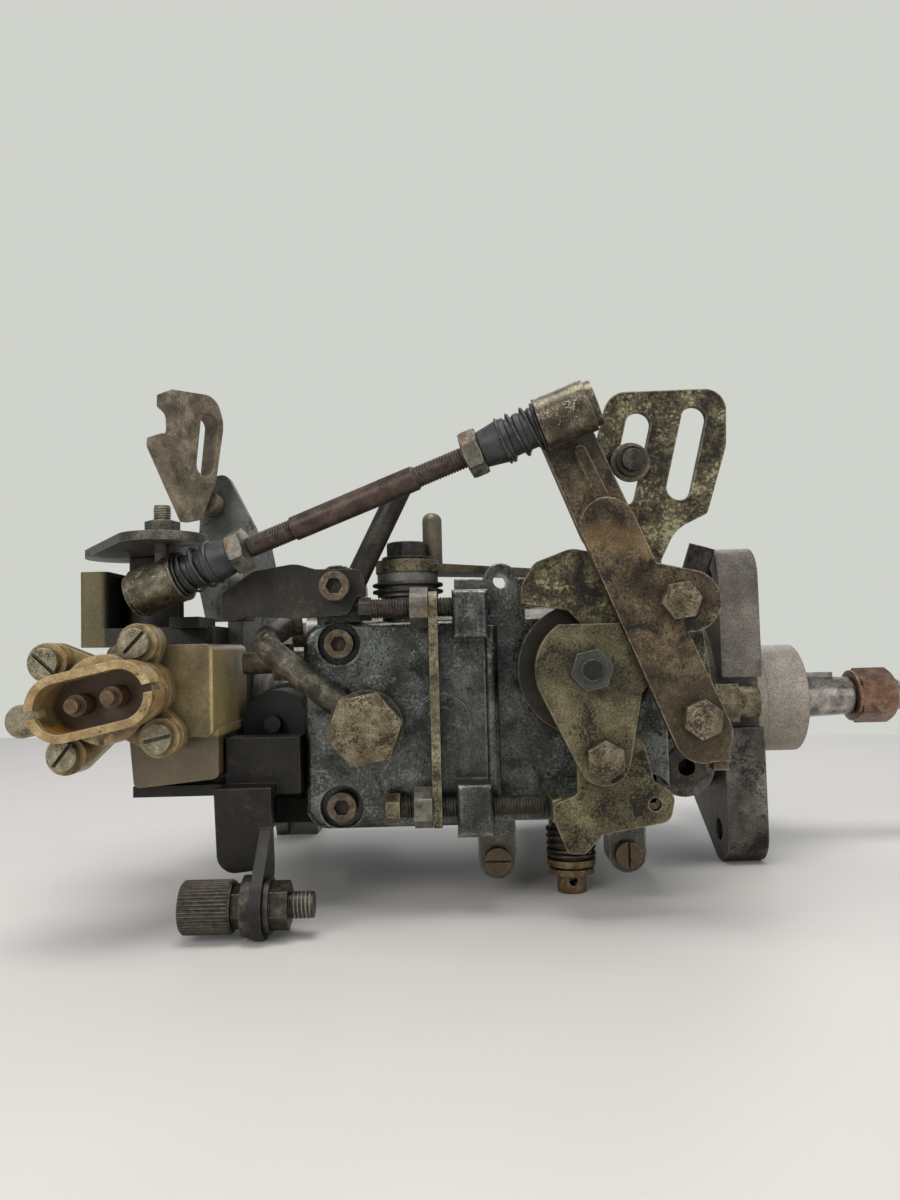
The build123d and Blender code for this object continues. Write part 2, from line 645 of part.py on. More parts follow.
with BuildPart() as cam_plate:
    disc_front = -CAM_TOP - CAM_LIFT
    disc_back = disc_front - CAM_T
    turned(across(0), [(CAM_R, disc_back, disc_front), (9.0, disc_back - 4, disc_back)])
    for angle in range(45, 405, 90):
        with BuildSketch(across(disc_front)):
            with BuildLine():
                arc = CenterArc((0, 0), CAM_R, angle - 24, 48)
                inner = CenterArc((0, 0), RING_BORE_R + 1, angle - 24, 48)
                Line(arc @ 0, inner @ 0)
                Line(arc @ 1, inner @ 1)
            make_face()
        extrude(amount=CAM_LIFT, taper=30)
    # the neck through the roller ring, slotted for the cross coupling's rear tongue
    neck_front = disc_start - CAM_LIFT - GAP
    turned(across(0), [(COUPLING_R - 4, disc_front, neck_front)])
    block(across(0), (-4.3, -COUPLING_R), (4.3, COUPLING_R), disc_start - 9.5, neck_front, Mode.SUBTRACT)
    turned(across(0), [(PLUNGER_R + SEAT, disc_front - CAM_T - 4, disc_front)], mode=Mode.SUBTRACT)
save(cam_plate, "cam_plate")

with BuildPart() as plunger:
    turned(across(0), [(PLUNGER_R, -PLUNGER_END, disc_front - 1)])
save(plunger, "plunger")

with BuildPart() as control_collar:
    mid = -(COLLAR_START + COLLAR_END) / 2
    turned(across(0), [(COLLAR_R, -COLLAR_END, -COLLAR_START)])
    turned(across(0), [(PLUNGER_R + FIT, -COLLAR_END, -COLLAR_START)], mode=Mode.SUBTRACT)
    with BuildSketch(across(mid - 3)):
        Circle(COLLAR_R)
        Circle(COLLAR_R - 3, mode=Mode.SUBTRACT)
    extrude(amount=6, mode=Mode.SUBTRACT)
save(control_collar, "control_collar")

with BuildPart() as inner_springs:
    # two plunger return springs beside the plunger, and the timing piston's spring
    for z in (21, -21):
        guide = spot(across(0), 0, z)
        turned(guide, [(6.5, -HOUSING_LENGTH + 9 + GAP, disc_front - CAM_T - GAP)])
        turned(guide, [(4.5, -HOUSING_LENGTH + 9, disc_front - CAM_T)], mode=Mode.SUBTRACT)
    bore = spot(level(0), TIMING_X, TIMING_Y)
    spring_end = -TIMING_PISTON_HALF + 8 - GAP
    turned(bore, [(8.0, -TIMING_HALF + GAP, spring_end)])
    turned(bore, [(6.0, -TIMING_HALF, spring_end)], mode=Mode.SUBTRACT)
save(inner_springs, "inner_springs")


# ---- governor ----
def governor_plane(x):
    """The plane square to the governor's axis at x."""
    return spot(across(x), -GOVERNOR_OUT, 0)


with BuildPart() as governor_shaft:
    turned(governor_plane(0), [(GOVERNOR_SHAFT_R, -SLEEVE_END + GAP + 2, -NECK_LENGTH - 0.5)])
save(governor_shaft, "governor_shaft")

with BuildPart() as governor_cage:
    # a gap between two teeth faces the drive gear's tooth
    gear(governor_plane(0), GOVERNOR_TEETH, -GEAR_START - GEAR_W, GEAR_W, 180 / GOVERNOR_TEETH)
    turned(governor_plane(0), [(CAGE_R, -GEAR_START - GEAR_W - 3, -GEAR_START - GEAR_W)])
    for u, v in ring_spots(12.5, 4, 45):
        post = spot(governor_plane(0), u, v)
        turned(post, [(2.0, -CAGE_END, -GEAR_START - GEAR_W - 3)])
    bored = [(GOVERNOR_SHAFT_R + FIT, -CAGE_END, -GEAR_START)]
    turned(governor_plane(0), bored, mode=Mode.SUBTRACT)
save(governor_cage, "governor_cage")

with BuildPart() as flyweights:
    # four weights between the cage's posts, each with a toe towards the sleeve
    for angle in range(0, 360, 90):
        turn = Plane(
            governor_plane(-CAGE_END + 1).origin,
            x_dir=(0, cos(radians(angle)), sin(radians(angle))),
            z_dir=(1, 0, 0),
        )
        block(turn, (8.0, -4.2), (14.5, 4.2), 2, 13.5)
        block(turn, (5.5, -2.5), (9.0, 2.5), 0, 3)
save(flyweights, "flyweights")

with BuildPart() as governor_sleeve:
    nose = -SLEEVE_END + 1.5
    turned(governor_plane(0), [(SLEEVE_R, nose, -CAGE_END - GAP + 0.6), (3.5, -SLEEVE_END, nose)])
    bore = (GOVERNOR_SHAFT_R + FIT, -SLEEVE_END + 2, -CAGE_END + 1)
    turned(governor_plane(0), [bore], mode=Mode.SUBTRACT)
save(governor_sleeve, "governor_sleeve")

with BuildPart() as governor_lever:
    # bent lever: the sleeve pushes its upper arm, its lower end moves the control collar
    top_x = -SLEEVE_END - 1.5 * GAP
    pin_x = -(COLLAR_START + COLLAR_END) / 2
    with BuildSketch(Plane.XY.offset(-5)):
        with BuildLine():
            Polyline(
                (top_x, -GOVERNOR_OUT - 18),
                (top_x, -GOVERNOR_OUT + 7),
                (LEVER_PIVOT_X + 3, -LEVER_PIVOT_OUT + 3),
                (pin_x + LEVER_T / 2, -COLLAR_R - 6),
                (pin_x + LEVER_T / 2, -COLLAR_R + 2),
                (pin_x - LEVER_T / 2, -COLLAR_R + 2),
                (pin_x - LEVER_T / 2, -COLLAR_R - 8),
                (LEVER_PIVOT_X - 2, -LEVER_PIVOT_OUT - 5),
                (top_x - LEVER_T, -GOVERNOR_OUT + 5),
                (top_x - LEVER_T, -GOVERNOR_OUT - 18),
                close=True,
            )
        make_face()
    extrude(amount=10)
    hub = spot(level(0), LEVER_PIVOT_X, -LEVER_PIVOT_OUT)
    turned(hub, [(5.5, -8, 8)])
    turned(hub, [(SCREW_R + FIT, -8, 8)], mode=Mode.SUBTRACT)
    # the narrow end that reaches into the collar's groove
    block(level(0), (pin_x - 6, -COLLAR_R - 3), (pin_x + 6, -COLLAR_R + 3), 2.5, 5, Mode.SUBTRACT)
    block(level(0), (pin_x - 6, -COLLAR_R - 3), (pin_x + 6, -COLLAR_R + 3), -5, -2.5, Mode.SUBTRACT)
save(governor_lever, "governor_lever")

with BuildPart() as lever_pivot_screws:
    for side in (1, -1):
        pivot = spot(level(0), LEVER_PIVOT_X, -LEVER_PIVOT_OUT)
        shank = sorted((side * 1.0, side * BOX_HALF))
        head = sorted((side * BOX_HALF, side * (BOX_HALF + 4)))
        turned(pivot, [(SCREW_R, *shank)])
        hexagon(pivot, 10.0, *head)
save(lever_pivot_screws, "lever_pivot_screws")


# ---- timing device ----
with BuildPart() as timing_piston:
    bore = spot(level(0), TIMING_X, TIMING_Y)
    turned(bore, [(TIMING_R - FIT, -TIMING_PISTON_HALF, TIMING_PISTON_HALF)])
    # cross hole for the ring's pin, and the spring's pocket
    slot_low, slot_high = (TIMING_X - 5.5, TIMING_Y - TIMING_R - 1), (TIMING_X + 5.5, TIMING_Y + 5)
    block(level(0), slot_low, slot_high, -4.6, 4.6, Mode.SUBTRACT)
    turned(bore, [(9.0, -TIMING_PISTON_HALF, -TIMING_PISTON_HALF + 8)], mode=Mode.SUBTRACT)
save(timing_piston, "timing_piston")

with BuildPart() as timing_covers:
    for side in (1, -1):
        ends = sorted((side * TIMING_HALF, side * (TIMING_HALF + TIMING_COVER_T)))
        spots = [(x, y, 7.0) for x, y in timing_screw_spots]
        hull_plate(level(0), spots + [(TIMING_X, TIMING_Y, 14.0)], *ends)
        drilled(level(0), timing_screw_spots, SCREW_R + SEAT, *ends)
save(timing_covers, "timing_covers")


# ---- socket screws of the cover, the arm, the head and the timing covers ----
with BuildPart() as socket_screws:
    for x, z in cover_screw_spots:
        top = COVER_OUT if x < -COVER_STEP else COVER_LOW_OUT
        socket_screw(spot(front(top - 5), x, z), top - 5 - BOX_OUT + 12)
    socket_screw(spot(front(ARM_OUT + ARM_T), *ARM_SCREW), 18)
    rear = Plane((-HOUSING_LENGTH - HEAD_FLANGE_T, 0, 0), x_dir=(0, 1, 0), z_dir=(-1, 0, 0))
    for y, z in head_screw_spots:
        socket_screw(spot(rear, y, -z), HEAD_FLANGE_T + 14)
    for side in (1, -1):
        face = Plane((0, 0, side * (TIMING_HALF + TIMING_COVER_T)), x_dir=(1, 0, 0), z_dir=(0, 0, side))
        for x, y in timing_screw_spots:
            socket_screw(spot(face, x, side * y), TIMING_COVER_T + 10)
save(socket_screws, "socket_screws")


# ---- stop screws and the strap that locks them ----
with BuildPart() as stop_screws:
    upper, lower = (-SCREW_OUT, UPPER_STOP_Z), (-SCREW_OUT, LOWER_STOP_Z)
    turned(spot(across(0), *upper), [(STOP_R, -154.4, -110.0)])
    turned(spot(across(0), *lower), [(STOP_R, -146.7, -93.6)])
    for end, place, turn in ((-154.4, upper, 0), (-146.7, lower, 90)):
        with BuildSketch(spot(across(end), *place)):
            Rectangle(8, 1.0, rotation=turn)
        extrude(amount=2.2, mode=Mode.SUBTRACT)
save(stop_screws, "stop_screws")

with BuildPart() as stop_screw_locknuts:
    for z in (UPPER_STOP_Z, LOWER_STOP_Z):
        nut = spot(across(STRAP_X), -SCREW_OUT, z)
        hexagon(nut, 12.0, -6.2, -0.2, 30)
        turned(nut, [(STOP_R + SEAT, -6.2, -0.2)], mode=Mode.SUBTRACT)
save(stop_screw_locknuts, "stop_screw_locknuts")

with BuildPart() as stop_screw_plate:
    # a long strap on edge, holding both stop screws
    hull_plate(
        across(STRAP_X),
        [(-SCREW_OUT, UPPER_STOP_Z, 5.5), (-SCREW_OUT, LOWER_STOP_Z - 2, 5.0)],
        0,
        STRAP_T,
    )
    drilled(across(STRAP_X), [upper, lower], STOP_R + SEAT, 0, STRAP_T)
save(stop_screw_plate, "stop_screw_plate")


# ---- fuel return union ----

with BuildPart() as return_banjo_bolt:
    bolt = spot(front(COVER_OUT), *BANJO)
    turned(bolt, [(5.95, -10, 13.4)])
    hexagon(bolt, 22.0, 13.4, 19.4, 10)
    chamfer(return_banjo_bolt.faces().sort_by(Axis.Y)[0].edges(), 0.8)
save(return_banjo_bolt, "return_banjo_bolt")

with BuildPart() as return_pipe:
    # banjo eye between two sealing washers, with the pipe brazed to it
    turned(bolt, [(10.5, 0.1, 1.5), (12.5, 1.5, 11.9), (10.5, 11.9, 13.3)])
    route = [
        (-160, -PIPE_OUT, 6.0), (-179.0, -PIPE_OUT, 21.5), (-188.0, 1 - PIPE_OUT, 29.0),
        (-182.0, -79.0, 35.5), (-177.0, -78.0, 36.0),
    ]
    with BuildLine():
        path = FilletPolyline(*route, radius=[9, 6, 3])
    with BuildSketch(Plane(path @ 0, z_dir=path % 0)):
        Circle(4.4)
    sweep(path=path)
    turned(bolt, [(6.05, 0, 14)], mode=Mode.SUBTRACT)
save(return_pipe, "return_pipe")


# ---- cold-start lever ----
COLD = spot(level(0), COLD_X, -COLD_OUT)
COLD_SEAT = 44.0 + GAP

with BuildPart() as cold_start_lever:
    turned(COLD, [(3.96, 33, COLD_SEAT), (11.0, COLD_SEAT, 53.0), (11.5, 53.0, 57.4)])
    hull_plate(level(53), [(COLD_X, -COLD_OUT, 11.5), (-92.0, -44.0, 5.0)], 0, 3)
    hexagon(COLD, BOLT_AF, 58.8, 64.0, 20)
    turned(COLD, [(8.5, 57.4, 58.8)])
    turned(spot(level(0), -129.6, -68.5), [(3.6, 55, 76)])
    fillet(cold_start_lever.faces().sort_by(Axis.Z)[-1].edges(), 3.2)
save(cold_start_lever, "cold_start_lever")


# ---- bracket arm with its guide rod ----
with BuildPart() as bracket_arm:
    arm_points = [
        (-201, 46), (-190.3, 53.4), (-176, 55.6), (-169.2, 53.5), (-152.8, 53.2), (-152.4, 43.8),
        (-155.4, 43.8), (-158, 37.6), (-176, 37.0), (-192, 38.0), (-201, 36),
    ]
    cut_plate(front(ARM_OUT), arm_points, [2, 8, 10, 4, 4, 1, 1, 4, 8, 8, 2], 0, ARM_T)
    guide = Plane((-156.4, -ARM_OUT + 3.0, 49.5), x_dir=(0, 1, 0), z_dir=(0.5, 0.05, 1))
    turned(guide, [(4.0, 0, 38)])
    block(front(0), (-201, 37), (-194, 46), ARM_OUT - 14, ARM_OUT)
    drilled(front(0), [ARM_SCREW], SCREW_R + SEAT, ARM_OUT - 1, ARM_OUT + ARM_T)
    # the rod stands clear of the cover's ear
    turned(spot(front(0), *ARM_SCREW), [(8.2, ARM_OUT - 20, ARM_OUT)], mode=Mode.SUBTRACT)
save(bracket_arm, "bracket_arm")


# ---- rear bracket: plate behind the head, gusset, support foot ----
PLATE_X = -HEAD_REAR - 0.2
PLATE_T = 6.0
FOOT_Y = 55.0
FOOT_HOLE_R = 4.25

with BuildPart() as rear_bracket:
    with BuildSketch(across(PLATE_X)):
        with BuildLine():
            FilletPolyline(
                (-48, -38), (-48, 58), (-10, 76), (10, 76), (50, 40), (50, -20),
                (66, -FLOOR), (44, -FLOOR), (30, -44),
                radius=[6, 6, 5, 5, 12, 10, 2, 2, 12],
                close=True,
            )
        make_face()
    extrude(amount=-PLATE_T)
    turned(across(PLATE_X), [(33.5, -PLATE_T, 0)], mode=Mode.SUBTRACT)
    # foot that stands beside the engine block, drilled for its bolt
    block(across(PLATE_X), (44, -FLOOR), (66, -FLOOR + 22), -PLATE_T, 14)
    foot = Plane((PLATE_X + 4, FOOT_Y, 0), x_dir=(1, 0, 0), z_dir=(0, 0, 1))
    turned(foot, [(FOOT_HOLE_R, -FLOOR, -FLOOR + 22)], mode=Mode.SUBTRACT)
    # gusset that carries the cable hook
    horn = [(PLATE_X - 1, 40), (PLATE_X - 1, 74), (-222, 106), (-233, 104), (-236, 60), (-232, 40)]
    cut_plate(front(0), horn, [0, 2, 4, 4, 4, 3], -3, 3)
save(rear_bracket, "rear_bracket")

HOOK_T = 10.0
HOOK_TURN = 50.0
HOOK_EDGE = (-221.0, -14.0)  # the front edge of its outer side, seen from above

with BuildPart() as cable_hook:
    # thick lifting eye, turned about the vertical, with a hooked notch and a long eye
    turn = radians(HOOK_TURN)
    face = Plane((*HOOK_EDGE, 0), x_dir=(cos(turn), sin(turn), 0), z_dir=(sin(turn), -cos(turn), 0))
    outline_points = [
        (-25.6, 136), (-3, 137.5), (1, 126), (-3.5, 100), (-11, 82.5), (-15, 82.5),
        (-30.8, 113), (-30.4, 117), (-24, 116.2), (-21.4, 121), (-21.6, 128), (-25.8, 130.6),
    ]
    cut_plate(face, outline_points, [1, 9, 14, 10, 1, 1, 4, 1, 3, 3, 4, 1], -HOOK_T, 0)
    with BuildSketch(face.offset(-HOOK_T)):
        with Locations((-7.6, 115.5)):
            SlotOverall(28, 9.0, rotation=83)
    extrude(amount=HOOK_T, mode=Mode.SUBTRACT)
    turned(spot(front(0), -228.0, 92), [(5.0, 3.1, 14)])
save(cable_hook, "cable_hook")


# ---- support bracket, with its leg and adjuster ----
ADJUSTER_OUT = 116.0
ADJUSTER_Z = -53.3

with BuildPart() as support_bracket:
    block(front(0), (-200.5, -22), (-175.6, -3), 84, 96)
    block(front(0), (-232, -22.0), (-176.5, -18.3), 62, 96)
    # leg, with a flange bent towards the front that carries the adjuster
    block(front(0), (-201.5, -22), (-183.4, -18.3), 92, 107)
    leg = [(-202, -18.3), (-183.4, -18.3), (-183.4, -44), (-201, -46)]
    cut_plate(front(103), leg, [0, 0, 3, 6], 0, 4)
    lug = [(-ADJUSTER_OUT, ADJUSTER_Z, FLOOR + ADJUSTER_Z), (-106.0, -34.0, 3.0), (-104.0, -44.0, 2.0)]
    hull_plate(across(-187.0), lug, 0, 3.6)
    # bar to the rear bracket's plate
    block(front(0), (PLATE_X - PLATE_T, -38), (-172, -29), 48.2, BOX_OUT - 0.2)
    block(front(0), (-200.5, -38), (-190, -21), BOX_OUT - 0.5, 94)
    block(front(0), (PLATE_X - PLATE_T, -38), (PLATE_X, -22), 48.2, BOX_OUT - 0.2)
    turned(spot(across(0), -ADJUSTER_OUT, ADJUSTER_Z), [(4.0 + SEAT, -195, -180)], mode=Mode.SUBTRACT)
save(support_bracket, "support_bracket")

with BuildPart() as adjuster_screw:
    # knurled knob with its threaded stem, washers and nuts
    stem = spot(across(0), -ADJUSTER_OUT, ADJUSTER_Z)
    turned(stem, [(7.8, -209.6, -193.4), (4.0, -193.4, -168.5)])
    hexagon(stem, 12.0, -193.4, -190.2, 15)
    turned(stem, [(9.4, -190.2, -187.1)])
    turned(stem, [(8.6, -183.3, -181.6)])
    hexagon(stem, 13.0, -181.6, -176.0, 15)
    chamfer(adjuster_screw.faces().sort_by(Axis.X)[0].edges(), 1.0)
save(adjuster_screw, "adjuster_screw")


# ---- load sensor ----
SENSOR_OUT = 110.0
SHELL_CENTRE = (-231.8, 12.4)
SHELL_TURN = 12.0

with BuildPart() as sensor_housing:
    block(front(0), (-236, -1.0), (-201, 29), 62, SENSOR_OUT - 2)
    block(front(0), (-228, -1.0), (-201, 29), SENSOR_OUT - 2, SENSOR_OUT)
    fillet(sensor_housing.edges().filter_by(Axis.Y), 2.6)
    # narrower base under the case, a little aslant, and a foot rail on its right side
    base = [(-231, -1.0), (-201.5, -1.0), (-201.5, -15.5), (-229.5, -18.2)]
    cut_plate(front(0), base, [0, 0, 2, 2], 62, SENSOR_OUT - 8)
    block(front(0), (-206, -1.6), (-200.4, 1.4), 62, SENSOR_OUT - 4)
save(sensor_housing, "sensor_housing")

with BuildPart() as sensor_body:
    # cast foot and column, with the crank's bearing post between them and the plate
    block(level(0), (-260, -72), (PLATE_X - PLATE_T - 0.2, -44), 29.2, 36)
    block(level(0), (-260, -72), (-249.5, -44), 29.2, CRANK_Z - 6)
    block(level(0), (-260, -52), (-229, -44), 29.2, CRANK_Z - 6)
    fillet(sensor_body.edges().filter_by(Axis.Z), 2.5)
    # bosses on the foot
    block(front(0), (-223, 35), (-212.5, 39), 62, 84)
    crank = spot(level(0), *CRANK_PIVOT)
    turned(crank, [(9.0, 36, CRANK_Z - GAP)])
    turned(crank, [(4.0 + FIT, 46, CRANK_Z)], mode=Mode.SUBTRACT)
save(sensor_body, "sensor_body")


def shell_plane(out):
    """The connector's plane, square to -Y and turned about it."""
    base = spot(front(out), *SHELL_CENTRE)
    turn = radians(SHELL_TURN)
    return Plane(base.origin, x_dir=(cos(turn), 0, sin(turn)), z_dir=base.z_dir)


shell_ears = [(-15.6, 15.4), (13.2, 14.8), (13.6, -15.7), (-16.0, -14.2)]
knob_spot = (-25.4, -0.8)
SHROUD_OUT = SENSOR_OUT + 24
EAR_R = 6.2

with BuildPart() as connector_shell:
    for u, v in shell_ears:
        hull_plate(shell_plane(0), [(0, 0, 10), (u, v, EAR_R)], SENSOR_OUT, SENSOR_OUT + 5)
        turned(spot(shell_plane(0), u, v), [(EAR_R, SENSOR_OUT, SENSOR_OUT + 10)])
    hull_plate(shell_plane(0), [(0, 0, 10), (*knob_spot, 5.0)], SENSOR_OUT, SENSOR_OUT + 5)
    turned(shell_plane(0), [(14.0, SENSOR_OUT, SENSOR_OUT + 12)])
    with BuildSketch(shell_plane(SENSOR_OUT)):
        SlotOverall(38.6, 20.6)
    extrude(amount=SHROUD_OUT - SENSOR_OUT)
    with BuildSketch(shell_plane(SENSOR_OUT + 8)):
        SlotOverall(33.4, 15.4)
    extrude(amount=SHROUD_OUT - SENSOR_OUT, mode=Mode.SUBTRACT)
    # keyways in both ends of the shroud
    block(shell_plane(0), (-22, -1.2), (22, 1.2), SHROUD_OUT - 8, SHROUD_OUT, Mode.SUBTRACT)
    for u, v in shell_ears:
        turned(spot(shell_plane(0), u, v), [(2.5 + SEAT, SENSOR_OUT, SENSOR_OUT + 10)], mode=Mode.SUBTRACT)
    turned(spot(shell_plane(0), *knob_spot), [(2.5 + SEAT, SENSOR_OUT, SENSOR_OUT + 5)], mode=Mode.SUBTRACT)
save(connector_shell, "connector_shell")

with BuildPart() as connector_pins:
    for u in (-7.2, 4.0):
        pin = spot(shell_plane(SENSOR_OUT + 8), u, 0)
        turned(pin, [(3.4, 0.02, 8), (2.2, 8, 11.5)])
save(connector_pins, "connector_pins")

with BuildPart() as slotted_screws:
    for (u, v), turn in zip(shell_ears, (-55, 35, 0, 40)):
        slotted_screw(spot(shell_plane(SENSOR_OUT + 10), u, v), 4.6, 3.4, 2.45, 9.5, turn)
    turned(spot(shell_plane(SENSOR_OUT + 5), *knob_spot), [(2.45, -4.5, 0), (5.2, 0, 8.5)])
    for (x, z), turn in zip(POSTS, (0, 90)):
        slotted_screw(spot(front(POST_OUT), x, z), 4.6, 3.0, 2.95, 7.5, turn)
save(slotted_screws, "slotted_screws")


# ---- inlet, flange plug, pressure fitting and vent pipe ----
with BuildPart() as inlet_union:
    union = spot(front(0), *INLET)
    turned(union, [(INLET_BORE_R - SEAT, 35, INLET_OUT + 1), (8.0, INLET_OUT, INLET_OUT + 3)])
    turned(union, [(3.4, 35, INLET_OUT + 3)], mode=Mode.SUBTRACT)
save(inlet_union, "inlet_union")

with BuildPart() as flange_plug:
    plug = spot(across(0), -39.8, 1.0)
    hexagon(plug, 15.0, -19.5, -10.5)
    turned(plug, [(6.5, -10.5, -2.0)])
    turned(across(0), [(NECK_R + 0.1, -25, -FLANGE_T)], mode=Mode.SUBTRACT)
    block(across(0), (-36.6, -20), (-30, 20), -FLANGE_T, 0, Mode.SUBTRACT)
save(flange_plug, "flange_plug")

with BuildPart() as pressure_fitting:
    # union nut, sealing rings and banjo stub, none lower than the flange's edge
    fitting = spot(level(0), FITTING_X, -FITTING_OUT)
    nut_end = FITTING_TOP - 7
    turned(fitting, [(4.95, FITTING_TOP, FITTING_TOP + 8), (8.4, nut_end, FITTING_TOP - 0.1)])
    turned(fitting, [(6.6, -FLOOR + 6.4, nut_end)])
    turned(fitting, [(8.8, -53.6, -51.4), (8.2, -56.6, -54.6), (5.2, -FLOOR + 0.2, -56.0)])
    turned(fitting, [(2.2, -FLOOR + 0.2, -FLOOR + 6)], mode=Mode.SUBTRACT)
    drilled(spot(front(0), FITTING_X, 0), [(0, -FLOOR + 4.5)], 1.6, FITTING_OUT - 8, FITTING_OUT + 8)
save(pressure_fitting, "pressure_fitting")

with BuildPart() as vent_pipe:
    turned(VENT_BASE, [(VENT_R, 0, VENT_LENGTH)])
    turned(VENT_BASE, [(VENT_R - 1.3, 12, VENT_LENGTH)], mode=Mode.SUBTRACT)
    turned(across(0), [(NECK_R + 0.1, -NECK_LENGTH, -FLANGE_T)], mode=Mode.SUBTRACT)
save(vent_pipe, "vent_pipe")

with BuildPart() as full_load_screw:
    full = spot(across(-COVER_REAR), -78, 22)
    turned(full, [(3.95, -23, 9)])
    hexagon(full, 13.0, -12, -6)
save(full_load_screw, "full_load_screw")


# ---- throttle levers ----
THROTTLE = spot(front(0), THROTTLE_X, THROTTLE_Z)

with BuildPart() as throttle_shaft:
    # shaft through the cover with its eccentric pin inside, the spring's plate and the nut
    inner_end = COVER_LOW_OUT - 5.2
    turned(THROTTLE, [(THROTTLE_R, inner_end, 120.0), (THROTTLE_R - 0.05, inner_end - 3, inner_end)])
    turned(THROTTLE, [(22.0, 101.5, 104.5), (8.5, 104.5, QUADRANT_OUT)])
    hexagon(THROTTLE, THROTTLE_NUT_AF, CONTROL_OUT + CONTROL_T + 0.1, 121.0, 12)
    turned(THROTTLE, [(3.4, 121.0, 122.4)])
    turned(spot(THROTTLE, -5.5, 0), [(2.0, inner_end - 7, inner_end - 3)])
    turned(spot(THROTTLE, -2.7, 0), [(4.7, inner_end - 3, inner_end - 1.2)])
save(throttle_shaft, "throttle_shaft")

with BuildPart() as return_spring:
    turned(THROTTLE, [(18.0, COVER_LOW_OUT + GAP, 101.3)])
    turned(THROTTLE, [(14.0, COVER_LOW_OUT, 102)], mode=Mode.SUBTRACT)
save(return_spring, "return_spring")

with BuildPart() as control_lever:
    nut_lobe = (THROTTLE_X, THROTTLE_Z, 17.4)
    hull_plate(front(CONTROL_OUT), [nut_lobe, (*PLATE_BOLT, 8.4)], 0, CONTROL_T)
    hull_plate(front(CONTROL_OUT), [nut_lobe, (*LEVER_BOLTS[0], 9.0)], 0, CONTROL_T)
    # the lever's top edge is cut flat
    block(front(CONTROL_OUT), (-100, THROTTLE_Z + 14.6), (-64, 50), 0, CONTROL_T, Mode.SUBTRACT)
    drilled(front(CONTROL_OUT), [(THROTTLE_X, THROTTLE_Z)], THROTTLE_R + SEAT, 0, CONTROL_T)
    drilled(front(CONTROL_OUT), [PLATE_BOLT, LEVER_BOLTS[0]], LEVER_BOLT_R + SEAT, 0, CONTROL_T)
save(control_lever, "control_lever")

with BuildPart() as slotted_quadrant:
    quadrant = [
        (-74, 93), (-70, 107.5), (-31.6, 108), (-32.4, 89), (-39.4, 67),
        (-50, 62), (-56, 50), (-44, 44), (-60, 30), (-66, 60),
    ]
    cut_plate(front(QUADRANT_OUT), quadrant, [4, 7, 7, 14, 2, 12, 3, 3, 3, 8], 0, QUADRANT_T)
    lower = [(*LEVER_BOLTS[0], 8.0), (*LEVER_BOLTS[1], 7.5)]
    hull_plate(front(QUADRANT_OUT), lower, 0, QUADRANT_T)
    hull_plate(front(QUADRANT_OUT), [(*LEVER_BOLTS[0], 8.0), (THROTTLE_X, THROTTLE_Z, 12.0)], 0, QUADRANT_T)
    # hook towards the upper stop screw, its edge folded back to meet it
    hook = [
        (-100.4, 39.2), (-85.6, 36.7), (-78, 28), (-58, 34), (-54, 54),
        (-76.6, 55.2), (-84, 56.8), (-96, 52.4), (-100.6, 45),
    ]
    cut_plate(front(QUADRANT_OUT), hook, [1.5, 1.5, 0, 0, 4, 6, 8, 4, 4], 0, QUADRANT_T)
    block(front(SCREW_OUT - 3), (-100.5, 39.2), (-97.5, 45.0), 0, QUADRANT_OUT - SCREW_OUT + 4)
    for x, z in ((-45.4, 87.0), (-63.6, 85.6)):
        with BuildSketch(front(QUADRANT_OUT)):
            with Locations((x, z)):
                SlotOverall(31.5, 8.2, rotation=76)
        extrude(amount=QUADRANT_T, mode=Mode.SUBTRACT)
    drilled(front(QUADRANT_OUT), [(THROTTLE_X, THROTTLE_Z)], THROTTLE_R + SEAT, 0, QUADRANT_T)
    drilled(front(QUADRANT_OUT), LEVER_BOLTS, LEVER_BOLT_R + SEAT, 0, QUADRANT_T)
save(slotted_quadrant, "slotted_quadrant")

with BuildPart() as stop_lever_plate:
    # lower plate with the tab that rests on the idle stop screw
    lower_out = CONTROL_OUT - 3.5
    points = [
        (-92.3, -25.2), (-84.5, -22.3), (-84, -4), (-63, -4), (-60, -18.5), (-53.2, -23),
        (-55, -31.5), (-77, -35.2), (-82.4, -41), (-88, -41), (-92.3, -30),
    ]
    cut_plate(front(lower_out), points, [1, 2, 6, 6, 2, 4, 4, 2, 2, 2, 2], 0, 3.4)
    tab = [(-92.3, -31.5), (-92.3, -24.5), (-89.3, -23.5), (-89.3, -31.5)]
    with BuildSketch(front(SCREW_OUT - 3.5)):
        with BuildLine():
            Polyline(*tab, close=True)
        make_face()
    extrude(amount=lower_out - SCREW_OUT + 4)
    drilled(front(lower_out), [(-59.8, -26.0)], 2.1, 0, 3.4)
    drilled(front(lower_out), [PLATE_BOLT], LEVER_BOLT_R + SEAT, 0, 3.4)
save(stop_lever_plate, "stop_lever_plate")

